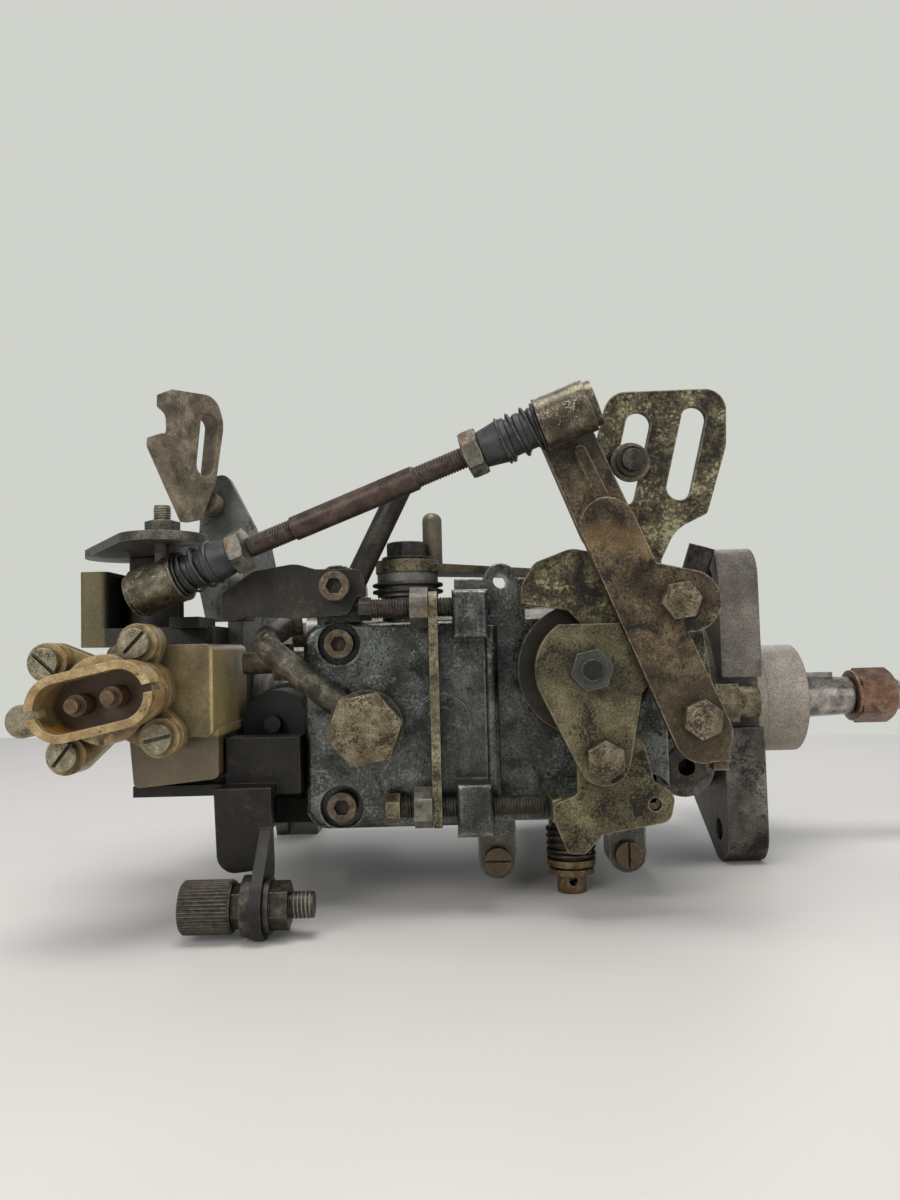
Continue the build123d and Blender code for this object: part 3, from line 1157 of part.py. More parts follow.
with BuildPart() as long_lever:
    ball_x, ball_z = FRONT_BALL[0], FRONT_BALL[2]
    plane = front(LONG_LEVER_OUT)
    foot_end, elbow = (-45.7, -3.2, 9.3), (-73.0, 63.0, 8.9)
    hull_plate(plane.offset(-ARM_STEP), [(ball_x, ball_z, 8.4), elbow], 0, LONG_LEVER_T)
    hull_plate(plane, [elbow, foot_end], 0, LONG_LEVER_T)
    hull_plate(plane, [(-61.0, 40.5, 10.5), (-48.0, 38.4, 9.8)], 0, LONG_LEVER_T)
    # stiffening rib pressed along the upper arm
    hull_plate(plane.offset(LONG_LEVER_T - ARM_STEP), [(-80.8, 87.0, 1.8), (-71.0, 64.0, 2.4)], 0, 1.2)
    # small bent tab at the foot
    block(plane, (-42, -15), (-37.5, -9), -5, 1)
    block(plane, (-42, -12), (-37.5, -7), 0, LONG_LEVER_T)
    drilled(plane, LEVER_BOLTS, LEVER_BOLT_R + SEAT, 0, LONG_LEVER_T)
    drilled(plane, [(ball_x, ball_z)], 2.8 + SEAT, -ARM_STEP, LONG_LEVER_T)
save(long_lever, "long_lever")


def lever_bolt(place, back, face):
    """A bolt through the lever plates, with its nut on the cover's side."""
    bolt = spot(front(0), *place)
    turned(bolt, [(LEVER_BOLT_R, back - 6.5, face)])
    hexagon(bolt, BOLT_AF - 2, face, face + BOLT_HEAD_H, place[0] * 7)
    hexagon(bolt, BOLT_AF - 2, back - 5, back - 0.1, 10)


with BuildPart() as lever_bolts:
    for place in LEVER_BOLTS:
        lever_bolt(place, QUADRANT_OUT, LONG_LEVER_OUT + LONG_LEVER_T)
    lever_bolt(PLATE_BOLT, lower_out, CONTROL_OUT + CONTROL_T)
    # spacer where the control lever doesn't reach between quadrant and long lever
    turned(spot(front(0), *LEVER_BOLTS[1]), [(6.5, QUADRANT_OUT + QUADRANT_T, LONG_LEVER_OUT)])
    # clamp screw in the left slot of the quadrant
    clamp = spot(front(0), -64.0, 84.1)
    turned(clamp, [(3.9, QUADRANT_OUT - 4, QUADRANT_OUT + 6)])
    hexagon(clamp, 10.0, QUADRANT_OUT + QUADRANT_T + 0.1, QUADRANT_OUT + QUADRANT_T + 4)
    # ball stud at the top of the long lever
    stud = spot(front(0), ball_x, ball_z)
    stud_face = LONG_LEVER_OUT + LONG_LEVER_T
    arm_back = LONG_LEVER_OUT - ARM_STEP
    turned(stud, [(2.8, arm_back - 3.5, -FRONT_BALL[1])])
    hexagon(stud, 8.0, arm_back - 3.5, arm_back - 0.1)
    with Locations(Location(FRONT_BALL)):
        Sphere(BALL_R)
save(lever_bolts, "lever_bolts")


# ---- link rod and its ball sockets ----
rear_centre = Vector(REAR_BALL[0], REAR_BALL[1] - REAR_OFFSET, REAR_BALL[2])
front_centre = Vector(*FRONT_BALL)
LINK_LENGTH = (rear_centre - front_centre).length
link = Plane(front_centre, x_dir=(0, 1, 0), z_dir=rear_centre - front_centre)


def ball_socket(plane):
    """Socket, neck and sleeve along the rod, from the ball's centre outwards."""
    turned(plane, [(SOCKET_R, -SOCKET_LENGTH / 2, SOCKET_LENGTH / 2)])
    turned(plane, [(7.2, -SOCKET_LENGTH / 2 - 2.2, -SOCKET_LENGTH / 2)])
    turned(plane, [(5.6, SOCKET_LENGTH / 2, 27.5)])
    with BuildSketch(plane.offset(20)) as outline:
        Circle(6.6)
    extrude(outline.sketch, amount=7.5, taper=8)


with BuildPart() as ball_sockets:
    rear_link = Plane(rear_centre, x_dir=(0, 1, 0), z_dir=front_centre - rear_centre)
    ball_socket(link)
    ball_socket(rear_link)
    for centre in (front_centre, rear_centre):
        radius = BALL_R + GAP if centre is front_centre else BALL_R + REAR_OFFSET + GAP - 0.2
        with Locations(Location(centre)):
            Sphere(radius, mode=Mode.SUBTRACT)
    # mouths for the two studs: the front one comes from behind, the rear one from above
    mouth = spot(front(0), ball_x, ball_z)
    turned(mouth, [(3.6, stud_face - 3, -FRONT_BALL[1])], mode=Mode.SUBTRACT)
    top = Plane(rear_centre, x_dir=(1, 0, 0), z_dir=(0, 0, 1))
    turned(top, [(5.0, 0, 14)], mode=Mode.SUBTRACT)
    for plane in (link, rear_link):
        turned(plane, [(ROD_R + SEAT, 14, 28)], mode=Mode.SUBTRACT)
save(ball_sockets, "ball_sockets")

with BuildPart() as link_rod:
    turned(link, [(ROD_R, 16, LINK_LENGTH - 16), (ROD_R + 0.8, 62, LINK_LENGTH - 50)])
    for plane in (link, rear_link):
        hexagon(plane, 12.5, 27.7, 33.2, 20)
save(link_rod, "link_rod")



# ---- sensor lever ----
with BuildPart() as sensor_lever:
    # horizontal crank on the sensor's shaft, with its ball stud hanging down at the far end
    ball_plane = spot(level(0), REAR_BALL[0], REAR_BALL[1])
    tail = (CRANK_PIVOT[0] - 8, CRANK_PIVOT[1] - 1, 17.0)
    circles = [(*CRANK_PIVOT, 18.5), tail, (REAR_BALL[0], REAR_BALL[1], 14.5)]
    hull_plate(level(CRANK_Z), circles, 0, CRANK_T)
    bolt = spot(level(0), CRANK_PIVOT[0] + 2, CRANK_PIVOT[1] - 16)
    hexagon(bolt, 9.0, CRANK_Z + CRANK_T, CRANK_Z + CRANK_T + 4, 5)
    turned(crank, [(4.0, 47, CRANK_Z), (7.0, CRANK_Z + CRANK_T, CRANK_Z + CRANK_T + 5)])
    turned(ball_plane, [(2.6, REAR_BALL[2], CRANK_Z + 13)])
    hexagon(ball_plane, 10.0, CRANK_Z + CRANK_T, CRANK_Z + CRANK_T + 4.6, 15)
    with Locations(Location(REAR_BALL)):
        Sphere(BALL_R)
save(sensor_lever, "sensor_lever")
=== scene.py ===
import math

import bpy
from mathutils import Matrix, Vector


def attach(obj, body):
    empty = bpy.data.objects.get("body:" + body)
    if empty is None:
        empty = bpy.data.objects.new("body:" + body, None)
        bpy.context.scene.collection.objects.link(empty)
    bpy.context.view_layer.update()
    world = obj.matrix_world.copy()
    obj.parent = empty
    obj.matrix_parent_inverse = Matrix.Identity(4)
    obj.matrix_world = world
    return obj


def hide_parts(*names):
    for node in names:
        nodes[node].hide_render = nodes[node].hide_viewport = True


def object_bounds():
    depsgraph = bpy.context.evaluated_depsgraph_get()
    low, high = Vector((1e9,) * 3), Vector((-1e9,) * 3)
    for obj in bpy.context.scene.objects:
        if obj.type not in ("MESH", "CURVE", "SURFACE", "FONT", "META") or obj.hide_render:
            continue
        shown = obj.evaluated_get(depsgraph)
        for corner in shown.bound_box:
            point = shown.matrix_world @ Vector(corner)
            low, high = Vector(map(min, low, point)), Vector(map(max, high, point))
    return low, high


# Diesel injection pump: the visual model, in metres, in the CAD model's own frame.
# X runs out along the drive shaft, Z is up, and the governor cover faces -Y.
# New pieces are sized and placed in millimetres.
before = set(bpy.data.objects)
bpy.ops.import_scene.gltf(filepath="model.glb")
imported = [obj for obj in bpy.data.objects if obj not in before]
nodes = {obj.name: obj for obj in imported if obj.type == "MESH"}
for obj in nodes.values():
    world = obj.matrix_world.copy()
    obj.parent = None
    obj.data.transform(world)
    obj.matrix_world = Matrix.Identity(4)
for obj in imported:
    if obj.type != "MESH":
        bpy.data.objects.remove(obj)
cad_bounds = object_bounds()
MM = 0.001
FLOOR_Z = cad_bounds[0].z


# ---- camera ----
FOCAL_PX = 900.0
LONG_SIDE_PX = 1200.0
SENSOR_MM = 36.0
CAMERA_AT = Vector((-123.6, -402.0, 25.3)) * MM
PITCH = math.radians(3.1)
ROLL = math.radians(1.5)
NEAREST, FARTHEST = 0.01, 20.0


def make_camera():
    """The camera stands where the photograph's did, with the same lens and tilt."""
    data = bpy.data.cameras.new("camera")
    data.sensor_width = SENSOR_MM
    data.lens = SENSOR_MM * FOCAL_PX / LONG_SIDE_PX
    data.clip_start = NEAREST
    data.clip_end = FARTHEST
    forward = Vector((0, math.cos(PITCH), math.sin(PITCH)))
    level_right = Vector((1, 0, 0))
    level_up = Vector((0, -math.sin(PITCH), math.cos(PITCH)))
    right = math.cos(ROLL) * level_right - math.sin(ROLL) * level_up
    up = math.cos(ROLL) * level_up + math.sin(ROLL) * level_right
    matrix = Matrix((right, up, -forward)).transposed().to_4x4()
    matrix.translation = CAMERA_AT
    camera = bpy.data.objects.new("camera", data)
    camera.matrix_world = matrix
    bpy.context.scene.collection.objects.link(camera)
    bpy.context.scene.camera = camera


make_camera()


# ---- colours and node helpers ----
def srgb(red, green, blue):
    """Linear colour of an 8-bit display colour."""
    def channel(value):
        value /= 255
        return value / 12.92 if value <= 0.04045 else ((value + 0.055) / 1.055) ** 2.4
    return (channel(red), channel(green), channel(blue), 1.0)


# agreement of a rounded normal with the true one, and openness to light, at both ends of a mask
ON_FLAT, ON_EDGE = 0.998, 0.88
OPEN_PLACE, DEEP_PLACE = 0.85, 0.25


class Shade:
    """A material being built from nodes."""

    def __init__(self, name):
        self.material = bpy.data.materials.new(name)
        self.material.use_nodes = True
        self.tree = self.material.node_tree
        self.tree.nodes.clear()
        self.coords = self.add("ShaderNodeTexCoord").outputs["Object"]

    def add(self, kind, inputs=None, **settings):
        """A node with its settings and its inputs, by name or number, set or linked."""
        node = self.tree.nodes.new(kind)
        for key, value in settings.items():
            setattr(node, key, value)
        for key, value in (inputs or {}).items():
            if isinstance(value, bpy.types.NodeSocket):
                self.tree.links.new(value, node.inputs[key])
            else:
                node.inputs[key].default_value = value
        return node

    def noise(self, size_mm, detail=3.0, roughness=0.55, stretch=None, distortion=0.0):
        """Noise whose features are about size_mm across."""
        coords = self.coords
        if stretch:
            coords = self.add("ShaderNodeMapping", {"Vector": coords, "Scale": stretch}).outputs[0]
        return self.add(
            "ShaderNodeTexNoise",
            {"Vector": coords, "Scale": 1 / (size_mm * MM), "Detail": detail,
             "Roughness": roughness, "Distortion": distortion},
        ).outputs[0]

    def fit(self, value, low, high, out_low=0.0, out_high=1.0):
        """value mapped from low...high to out_low...out_high, clamped."""
        return self.add(
            "ShaderNodeMapRange",
            {"Value": value, "From Min": low, "From Max": high, "To Min": out_low, "To Max": out_high},
        ).outputs[0]

    def math(self, operation, first, second):
        """One arithmetic step."""
        return self.add("ShaderNodeMath", {0: first, 1: second}, operation=operation).outputs[0]

    def mix(self, factor, first, second, blend_type="MIX"):
        """The first colour mixed towards the second."""
        return self.add(
            "ShaderNodeMix", {0: factor, 6: first, 7: second}, data_type="RGBA", blend_type=blend_type
        ).outputs[2]

    def mix_value(self, factor, first, second):
        """The first value moved towards the second."""
        return self.add("ShaderNodeMix", {0: factor, 2: first, 3: second}, data_type="FLOAT").outputs[0]

    def multiply(self, colour, value):
        """A colour made lighter or darker by a value."""
        grey = self.add("ShaderNodeCombineColor", {0: value, 1: value, 2: value}).outputs[0]
        return self.mix(1.0, colour, grey, "MULTIPLY")

    def ramp(self, value, stops):
        """Colours along a value, as (position, colour) stops."""
        node = self.add("ShaderNodeValToRGB", {0: value})
        elements = node.color_ramp.elements
        while len(elements) < len(stops):
            elements.new(0.5)
        for element, (position, colour) in zip(elements, stops):
            element.position = position
            element.color = colour
        return node.outputs[0]

    def inside(self, limits, amount, soft_mm=0.4):
        """amount where every (axis, low, high) limit in millimetres holds, fading to 0."""
        parts = self.add("ShaderNodeSeparateXYZ", {0: self.coords})
        mask = amount
        for axis, low, high in limits:
            for edge, reach in ((low, soft_mm), (high, -soft_mm)):
                ramp = self.fit(parts.outputs[axis], (edge - reach) * MM, (edge + reach) * MM)
                mask = self.math("MULTIPLY", mask, ramp)
        return mask

    def edges(self, radius_mm):
        """1 on convex and concave edges, 0 on flat faces, and the rounded normal."""
        bevel = self.add("ShaderNodeBevel", {"Radius": radius_mm * MM}, samples=4).outputs[0]
        normal = self.add("ShaderNodeNewGeometry").outputs["Normal"]
        dot = self.add("ShaderNodeVectorMath", {0: bevel, 1: normal}, operation="DOT_PRODUCT")
        return self.fit(dot.outputs["Value"], ON_FLAT, ON_EDGE), bevel

    def crevices(self, reach_mm):
        """A mask for painted shade: 1 deep in corners, 0 in the open."""
        shadow = self.add("ShaderNodeAmbientOcclusion", {"Distance": reach_mm * MM}, samples=4)
        return self.fit(shadow.outputs["AO"], OPEN_PLACE, DEEP_PLACE)

    def bump(self, height, distance_mm, normal):
        """Surface relief on top of a normal."""
        inputs = {"Height": height, "Distance": distance_mm * MM, "Strength": 1.0, "Normal": normal}
        return self.add("ShaderNodeBump", inputs).outputs[0]

    def done(self, colour, roughness, metallic, **more):
        """Connects the surface and returns the material."""
        inputs = {"Base Color": colour, "Roughness": roughness, "Metallic": metallic, **more}
        surface = self.add("ShaderNodeBsdfPrincipled", inputs)
        output = self.add("ShaderNodeOutputMaterial")
        self.tree.links.new(surface.outputs[0], output.inputs["Surface"])
        return self.material


# where a noise's values mostly lie, broad and fine
BROAD = (0.3, 0.7)
FINE = (0.34, 0.66)
GRAIN_DARKER, GRAIN_LIGHTER = 1.5, 1.3
STAIN_STRENGTH = 0.85
SPECK_CLUMPING = 1.1
SPECK_SOFT, FLECK_SOFT = 0.06, 0.05
BAND_TONES = (0.75, 1.25)
EDGE_BREAK_MM = 1.6
EDGE_BREAK = (0.36, 0.58)
LEAST_EDGE = 0.15
WAVE_SIZE_MM = 5.0
COAT_ROUGHNESS = 0.15


def worn(
    name, tones, patch_mm=7.0, grain=0.25, grain_mm=0.7, rough=(0.42, 0.72), metallic=0.35,
    relief_mm=0.05, relief_size_mm=0.6, wave_mm=0.0, edge=None, edge_wear_and_highlight_amount=0.6, edge_mm=0.5,
    crevice_shade=(24, 21, 17), crevice_shade_amount=0.8, crevice_shade_mm=5.0,
    specks=None, speck_mm=0.9, speck_level=0.60, speck_amount=0.8,
    flecks=None, fleck_level=0.385, fleck_amount=0.45,
    stain=None, stain_mm=9.0, stain_level=0.55, stain_soft=0.08, stain_rough=0.6,
    stretch=None, bands=(), coat=0.0,
):
    """A used surface: patchy tones, grain, stains, specks, painted bands, edges lightened as wear and as
    painted highlight, and painted shade in crevices.

    bands are (limits, colour, amount) with an optional softness in millimetres, as in inside().
    """
    shade = Shade(name)
    patches = shade.noise(patch_mm, detail=6.0, roughness=0.66, stretch=stretch)
    spread = (BROAD[1] - BROAD[0]) / (len(tones) - 1)
    stops = [(BROAD[0] + spread * step, srgb(*tone)) for step, tone in enumerate(tones)]
    colour = shade.ramp(patches, stops)
    fine = shade.noise(grain_mm, detail=4.0, roughness=0.7, stretch=stretch)
    light = shade.fit(fine, *FINE, 1 - GRAIN_DARKER * grain, 1 + GRAIN_LIGHTER * grain)
    colour = shade.multiply(colour, light)
    roughness = shade.fit(patches, *BROAD, *rough)
    broad = shade.noise(stain_mm, detail=6.0, roughness=0.68, distortion=0.6)
    if stain:
        stained = shade.fit(broad, stain_level, stain_level + stain_soft)
        mask = shade.math("MULTIPLY", stained, STAIN_STRENGTH)
        colour = shade.mix(mask, colour, srgb(*stain))
        roughness = shade.mix_value(mask, roughness, stain_rough)
    if specks:
        clump = shade.math("MULTIPLY", shade.math("SUBTRACT", broad, 0.5), SPECK_CLUMPING)
        dots = shade.math("ADD", shade.noise(speck_mm, detail=4.0, roughness=0.65), clump)
        if flecks:
            mask = shade.fit(dots, fleck_level, fleck_level - FLECK_SOFT, 0.0, fleck_amount)
            colour = shade.mix(mask, colour, srgb(*flecks))
        mask = shade.fit(dots, speck_level, speck_level + SPECK_SOFT, 0.0, speck_amount)
        colour = shade.mix(mask, colour, srgb(*specks))
    for limits, tint, amount, *soft_mm in bands:
        tone = shade.math("MULTIPLY", shade.fit(patches, *BROAD, *BAND_TONES), light)
        painted = shade.multiply(srgb(*tint), tone)
        colour = shade.mix(shade.inside(limits, amount, *soft_mm), colour, painted)
    on_edge, normal = shade.edges(edge_mm)
    # lighter colour on convex and concave edges: partly rubbed wear, partly a painted highlight
    if edge:
        broken = shade.fit(shade.noise(EDGE_BREAK_MM, detail=4.0), *EDGE_BREAK, LEAST_EDGE, 1.0)
        mask = shade.math("MULTIPLY", shade.math("MULTIPLY", on_edge, broken), edge_wear_and_highlight_amount)
        colour = shade.mix(mask, colour, srgb(*edge))
    # painted shade: a darker colour laid into corners and crevices by ambient occlusion
    mask = shade.math("MULTIPLY", shade.crevices(crevice_shade_mm), crevice_shade_amount)
    colour = shade.mix(mask, colour, srgb(*crevice_shade))
    if wave_mm:
        normal = shade.bump(shade.noise(WAVE_SIZE_MM), wave_mm, normal)
    normal = shade.bump(shade.noise(relief_size_mm, detail=4.0, roughness=0.6), relief_mm, normal)
    coating = {"Coat Weight": coat, "Coat Roughness": COAT_ROUGHNESS}
    return shade.done(colour, roughness, metallic, Normal=normal, **coating)


# ---- materials ----
X, Y, Z = 0, 1, 2
casting = worn(
    "cast_aluminium", [(44, 45, 41), (74, 77, 72), (110, 114, 108)], patch_mm=14, grain=0.30,
    grain_mm=0.6, relief_mm=0.20, relief_size_mm=1.0, wave_mm=0.35, edge=(178, 180, 172),
    edge_wear_and_highlight_amount=0.8, edge_mm=1.1, coat=0.45, specks=(24, 23, 20), speck_mm=1.0, speck_level=0.555,
    flecks=(150, 152, 144), fleck_level=0.40,
    stain=(40, 38, 33), stain_mm=11, stain_level=0.56, stain_rough=0.24, metallic=0.8,
    rough=(0.20, 0.38),
    bands=[
        ([(X, -123, -110), (Z, -36, 8)], (42, 43, 39), 0.6, 7.0),
        ([(Z, -62, -43)], (78, 68, 54), 0.75, 2.0),
    ],
)
housing_casting = worn(
    "cast_housing", [(46, 42, 38), (98, 93, 85), (152, 146, 135)], patch_mm=20, grain=0.30,
    grain_mm=0.6, relief_mm=0.18, relief_size_mm=1.0, wave_mm=0.3, edge=(150, 146, 138),
    edge_wear_and_highlight_amount=0.8, edge_mm=1.1, specks=(24, 22, 19), speck_mm=1.0, speck_level=0.565,
    stain=(36, 32, 28), stain_mm=16, stain_level=0.50, stain_soft=0.13, stain_rough=0.34, metallic=0.6,
    rough=(0.38, 0.62),
    # the first band lightens the flange's upper half: painted light falling from above
    bands=[([(X, -18, 1), (Z, -2, 90)], (144, 136, 125), 0.45, 5.0), ([(X, 0.6, 40)], (162, 153, 141), 0.9)],
)
machined = worn(
    "machined_steel", [(86, 84, 80), (116, 114, 109), (148, 146, 140)], patch_mm=12, grain=0.14,
    grain_mm=0.8, stretch=(6, 1, 1), relief_mm=0.02, relief_size_mm=0.4, edge=(200, 198, 191),
    edge_wear_and_highlight_amount=0.5, metallic=0.75, rough=(0.28, 0.5), stain=(78, 64, 48), stain_level=0.60,
)
shaft_steel = worn(
    "dark_shaft_steel", [(84, 79, 73), (140, 134, 126), (190, 185, 177)], patch_mm=6, grain=0.15,
    relief_mm=0.02, relief_size_mm=0.5, edge=(214, 210, 202), metallic=0.85, rough=(0.18, 0.36),
    stain=(88, 66, 48), stain_level=0.62,
)
plated = worn(
    "worn_yellow_zinc", [(62, 55, 39), (92, 85, 61), (126, 118, 88)], patch_mm=13, grain=0.36,
    grain_mm=0.5, relief_mm=0.06, relief_size_mm=0.6, edge=(188, 180, 150), edge_wear_and_highlight_amount=0.9, edge_mm=0.8,
    specks=(26, 23, 16), speck_mm=0.8, speck_level=0.535, flecks=(156, 148, 116), fleck_amount=0.35,
    stain=(44, 38, 27), stain_mm=12,
    stain_level=0.57, metallic=0.55, rough=(0.34, 0.60),
)
quadrant_plate = worn(
    "dark_yellow_zinc", [(50, 44, 31), (84, 77, 56), (130, 124, 92)], patch_mm=8, grain=0.28,
    grain_mm=0.5, relief_mm=0.07, relief_size_mm=0.6, edge=(184, 176, 142), edge_wear_and_highlight_amount=0.9, edge_mm=0.8,
    specks=(30, 25, 18), speck_mm=0.9, speck_level=0.525, flecks=(180, 170, 130), fleck_level=0.40,
    fleck_amount=0.6, stain=(40, 34, 26), stain_mm=10,
    stain_level=0.55, metallic=0.5, rough=(0.36, 0.62),
)
strap_plate = worn(
    "speckled_strap", [(80, 73, 50), (112, 106, 82), (146, 140, 112)], patch_mm=5, grain=0.26,
    grain_mm=0.5, relief_mm=0.06, relief_size_mm=0.5, edge=(196, 186, 150), edge_wear_and_highlight_amount=0.7,
    specks=(34, 28, 19), speck_mm=0.8, speck_level=0.53, flecks=(184, 174, 140), stain=(110, 72, 34),
    stain_mm=7, stain_level=0.58, metallic=0.45, rough=(0.38, 0.62),
)
throttle_plate = worn(
    "throttle_parts", [(60, 53, 36), (92, 83, 58), (124, 114, 86)], patch_mm=10, grain=0.28,
    grain_mm=0.55, relief_mm=0.06, relief_size_mm=0.6, edge=(178, 172, 150), edge_wear_and_highlight_amount=0.7,
    specks=(26, 23, 17), speck_mm=0.7, speck_level=0.60, metallic=0.6, rough=(0.30, 0.5),
    bands=[
        ([(Y, -106, -60)], (44, 40, 34), 0.95), ([(Y, -130, -116.05)], (88, 89, 83), 0.95),
        ([(Y, -130, -121.1)], (40, 40, 38), 0.95),
    ],
)
cold_parts = worn(
    "cold_start_parts", [(74, 67, 50), (110, 101, 78), (140, 131, 106)], patch_mm=8, grain=0.26,
    grain_mm=0.6, relief_mm=0.05, relief_size_mm=0.6, edge=(180, 174, 150), edge_wear_and_highlight_amount=0.6,
    specks=(34, 30, 24), speck_mm=0.8, speck_level=0.60, metallic=0.5, rough=(0.34, 0.58),
    bands=[
        ([(Z, 30, 52.6)], (126, 126, 120), 0.9),
        ([(Z, 57.6, 90), (X, -160, -133)], (32, 31, 30), 0.97),
        ([(X, -133, -120), (Z, 57, 90)], (116, 112, 92), 0.9),
    ],
)
long_plate = worn(
    "brown_lever_steel", [(38, 31, 23), (78, 64, 46), (128, 112, 84)], patch_mm=12, grain=0.36,
    grain_mm=0.5, relief_mm=0.07, relief_size_mm=0.7, edge=(190, 180, 152), edge_wear_and_highlight_amount=0.95, edge_mm=0.8,
    specks=(26, 21, 15), speck_mm=0.9, speck_level=0.555, flecks=(146, 132, 102), fleck_amount=0.4,
    stain=(38, 31, 23), stain_mm=13,
    stain_level=0.54, metallic=0.5, rough=(0.36, 0.58),
    bands=[
        # the band at Z 56 to 61 is a painted highlight along the long lever's bend, in a rust-brown tint
        ([(Z, 56, 61)], (132, 106, 70), 0.6, 4.0), ([(Z, 80, 130)], (48, 46, 41), 0.7, 10.0),
        ([(Z, -20, 16)], (74, 64, 46), 0.5, 8.0),
    ],
)
dark_plate = worn(
    "dark_bracket_steel", [(26, 24, 21), (44, 40, 34), (72, 66, 56)], patch_mm=10, grain=0.40,
    grain_mm=0.5, relief_mm=0.08, relief_size_mm=0.9, edge=(134, 126, 110), edge_wear_and_highlight_amount=0.6,
    stain=(74, 60, 44), stain_mm=8, stain_level=0.58, metallic=0.4, rough=(0.36, 0.60),
)
black_steel = worn(
    "black_bracket_steel", [(14, 13, 12), (25, 23, 20), (42, 39, 34)], patch_mm=9, grain=0.36,
    grain_mm=0.6, relief_mm=0.08, relief_size_mm=0.9, edge=(112, 105, 90), edge_wear_and_highlight_amount=0.7,
    stain=(62, 50, 36), stain_mm=8, stain_level=0.58, metallic=0.4, rough=(0.34, 0.56),
)
bracket_grey = worn(
    "grey_bracket_steel", [(66, 66, 61), (98, 98, 91), (126, 126, 118)], patch_mm=11, grain=0.30,
    grain_mm=0.5, relief_mm=0.06, relief_size_mm=0.8, edge=(158, 156, 144), edge_wear_and_highlight_amount=0.6,
    stain=(50, 46, 39), stain_mm=12, stain_level=0.54, metallic=0.4, rough=(0.36, 0.60),
)
hook_steel = worn(
    "brown_hook_steel", [(64, 55, 44), (122, 110, 91), (168, 156, 133)], patch_mm=8, grain=0.36,
    grain_mm=0.5, relief_mm=0.07, relief_size_mm=0.8, edge=(168, 158, 142), edge_wear_and_highlight_amount=0.6,
    stain=(104, 74, 50), stain_mm=9, stain_level=0.60, metallic=0.35, rough=(0.42, 0.66),
)
grey_steel = worn(
    "grey_lever_steel", [(54, 51, 44), (88, 84, 74), (124, 119, 106)], patch_mm=9, grain=0.34,
    relief_mm=0.06, relief_size_mm=0.8, edge=(164, 160, 146), edge_wear_and_highlight_amount=0.65,
    stain=(52, 46, 36), stain_mm=9, stain_level=0.54, metallic=0.5, rough=(0.34, 0.58),
)
bolt_tan = worn(
    "tan_bolt_steel", [(66, 57, 42), (112, 101, 78), (156, 146, 120)], patch_mm=5, grain=0.38,
    grain_mm=0.45, relief_mm=0.05, relief_size_mm=0.6, edge=(196, 187, 160), edge_wear_and_highlight_amount=0.85,
    specks=(38, 29, 20), speck_mm=0.7, speck_level=0.55, metallic=0.55, rough=(0.36, 0.58),
)
fitting_brass = worn(
    "tarnished_fitting", [(66, 52, 34), (112, 92, 62), (150, 130, 94)], patch_mm=4, grain=0.25,
    grain_mm=0.5, relief_mm=0.05, relief_size_mm=0.5, edge=(190, 172, 132), edge_wear_and_highlight_amount=0.7,
    specks=(34, 27, 19), speck_mm=0.7, speck_level=0.60, metallic=0.55, rough=(0.34, 0.56),
    bands=[([(Z, -51, -30)], (34, 31, 27), 0.95)],
)
rusty = worn(
    "rusty_steel", [(52, 43, 32), (92, 80, 62), (134, 121, 99)], patch_mm=3.5, grain=0.30,
    relief_mm=0.08, relief_size_mm=0.6, edge=(164, 150, 126), edge_wear_and_highlight_amount=0.6,
    stain=(102, 62, 34), stain_mm=4, stain_level=0.60, metallic=0.45, rough=(0.40, 0.66),
    crevice_shade_amount=0.9,
)
nut_copper = worn(
    "coppery_nut_steel", [(82, 60, 46), (118, 90, 70), (152, 124, 100)], patch_mm=5, grain=0.20,
    relief_mm=0.04, relief_size_mm=0.5, edge=(192, 170, 144), metallic=0.7, rough=(0.28, 0.46),
    stain=(58, 43, 33), stain_level=0.58,
)
nut_grey = worn(
    "grey_nut_steel", [(72, 70, 64), (110, 107, 98), (146, 142, 130)], patch_mm=4, grain=0.22,
    relief_mm=0.04, relief_size_mm=0.5, edge=(196, 190, 174), edge_wear_and_highlight_amount=0.75, metallic=0.6,
    rough=(0.30, 0.52), stain=(112, 74, 36), stain_mm=6, stain_level=0.55,
)
screw_brass = worn(
    "dull_brass_screw", [(92, 84, 62), (132, 124, 100), (166, 158, 134)], patch_mm=4, grain=0.24,
    grain_mm=0.5, relief_mm=0.05, relief_size_mm=0.5, edge=(204, 198, 172), edge_wear_and_highlight_amount=0.7,
    specks=(48, 42, 30), speck_mm=0.6, speck_level=0.60, metallic=0.55, rough=(0.34, 0.54),
    bands=[([(Z, -60, -40)], (84, 66, 46), 0.9)],
)
pipe_steel = worn(
    "tan_pipe_steel", [(44, 40, 33), (86, 81, 70), (136, 129, 112)], patch_mm=6, grain=0.34,
    relief_mm=0.06, relief_size_mm=0.6, edge=(176, 166, 146), metallic=0.5, rough=(0.36, 0.56),
    stain=(48, 42, 35), stain_mm=7, stain_level=0.53,
)
dark_screw = worn(
    "dark_screw_steel", [(32, 29, 26), (56, 51, 45), (92, 85, 74)], patch_mm=3, grain=0.25,
    relief_mm=0.04, relief_size_mm=0.5, edge=(142, 134, 118), metallic=0.6, rough=(0.32, 0.54),
)
spring_wire = worn(
    "dark_spring_wire", [(34, 33, 32), (58, 56, 54), (92, 90, 86)], patch_mm=4, grain=0.15,
    relief_mm=0.02, edge=(130, 128, 120), metallic=0.6, rough=(0.32, 0.5),
)
socket_metal = worn(
    "worn_socket_steel", [(48, 42, 34), (86, 79, 66), (140, 132, 114)], patch_mm=6, grain=0.30,
    grain_mm=0.5, relief_mm=0.05, relief_size_mm=0.6, edge=(196, 190, 172), edge_wear_and_highlight_amount=0.8,
    specks=(178, 170, 146), speck_mm=0.5, speck_level=0.64, stain=(38, 32, 25), stain_mm=7,
    stain_level=0.55, metallic=0.75, rough=(0.24, 0.44),
)
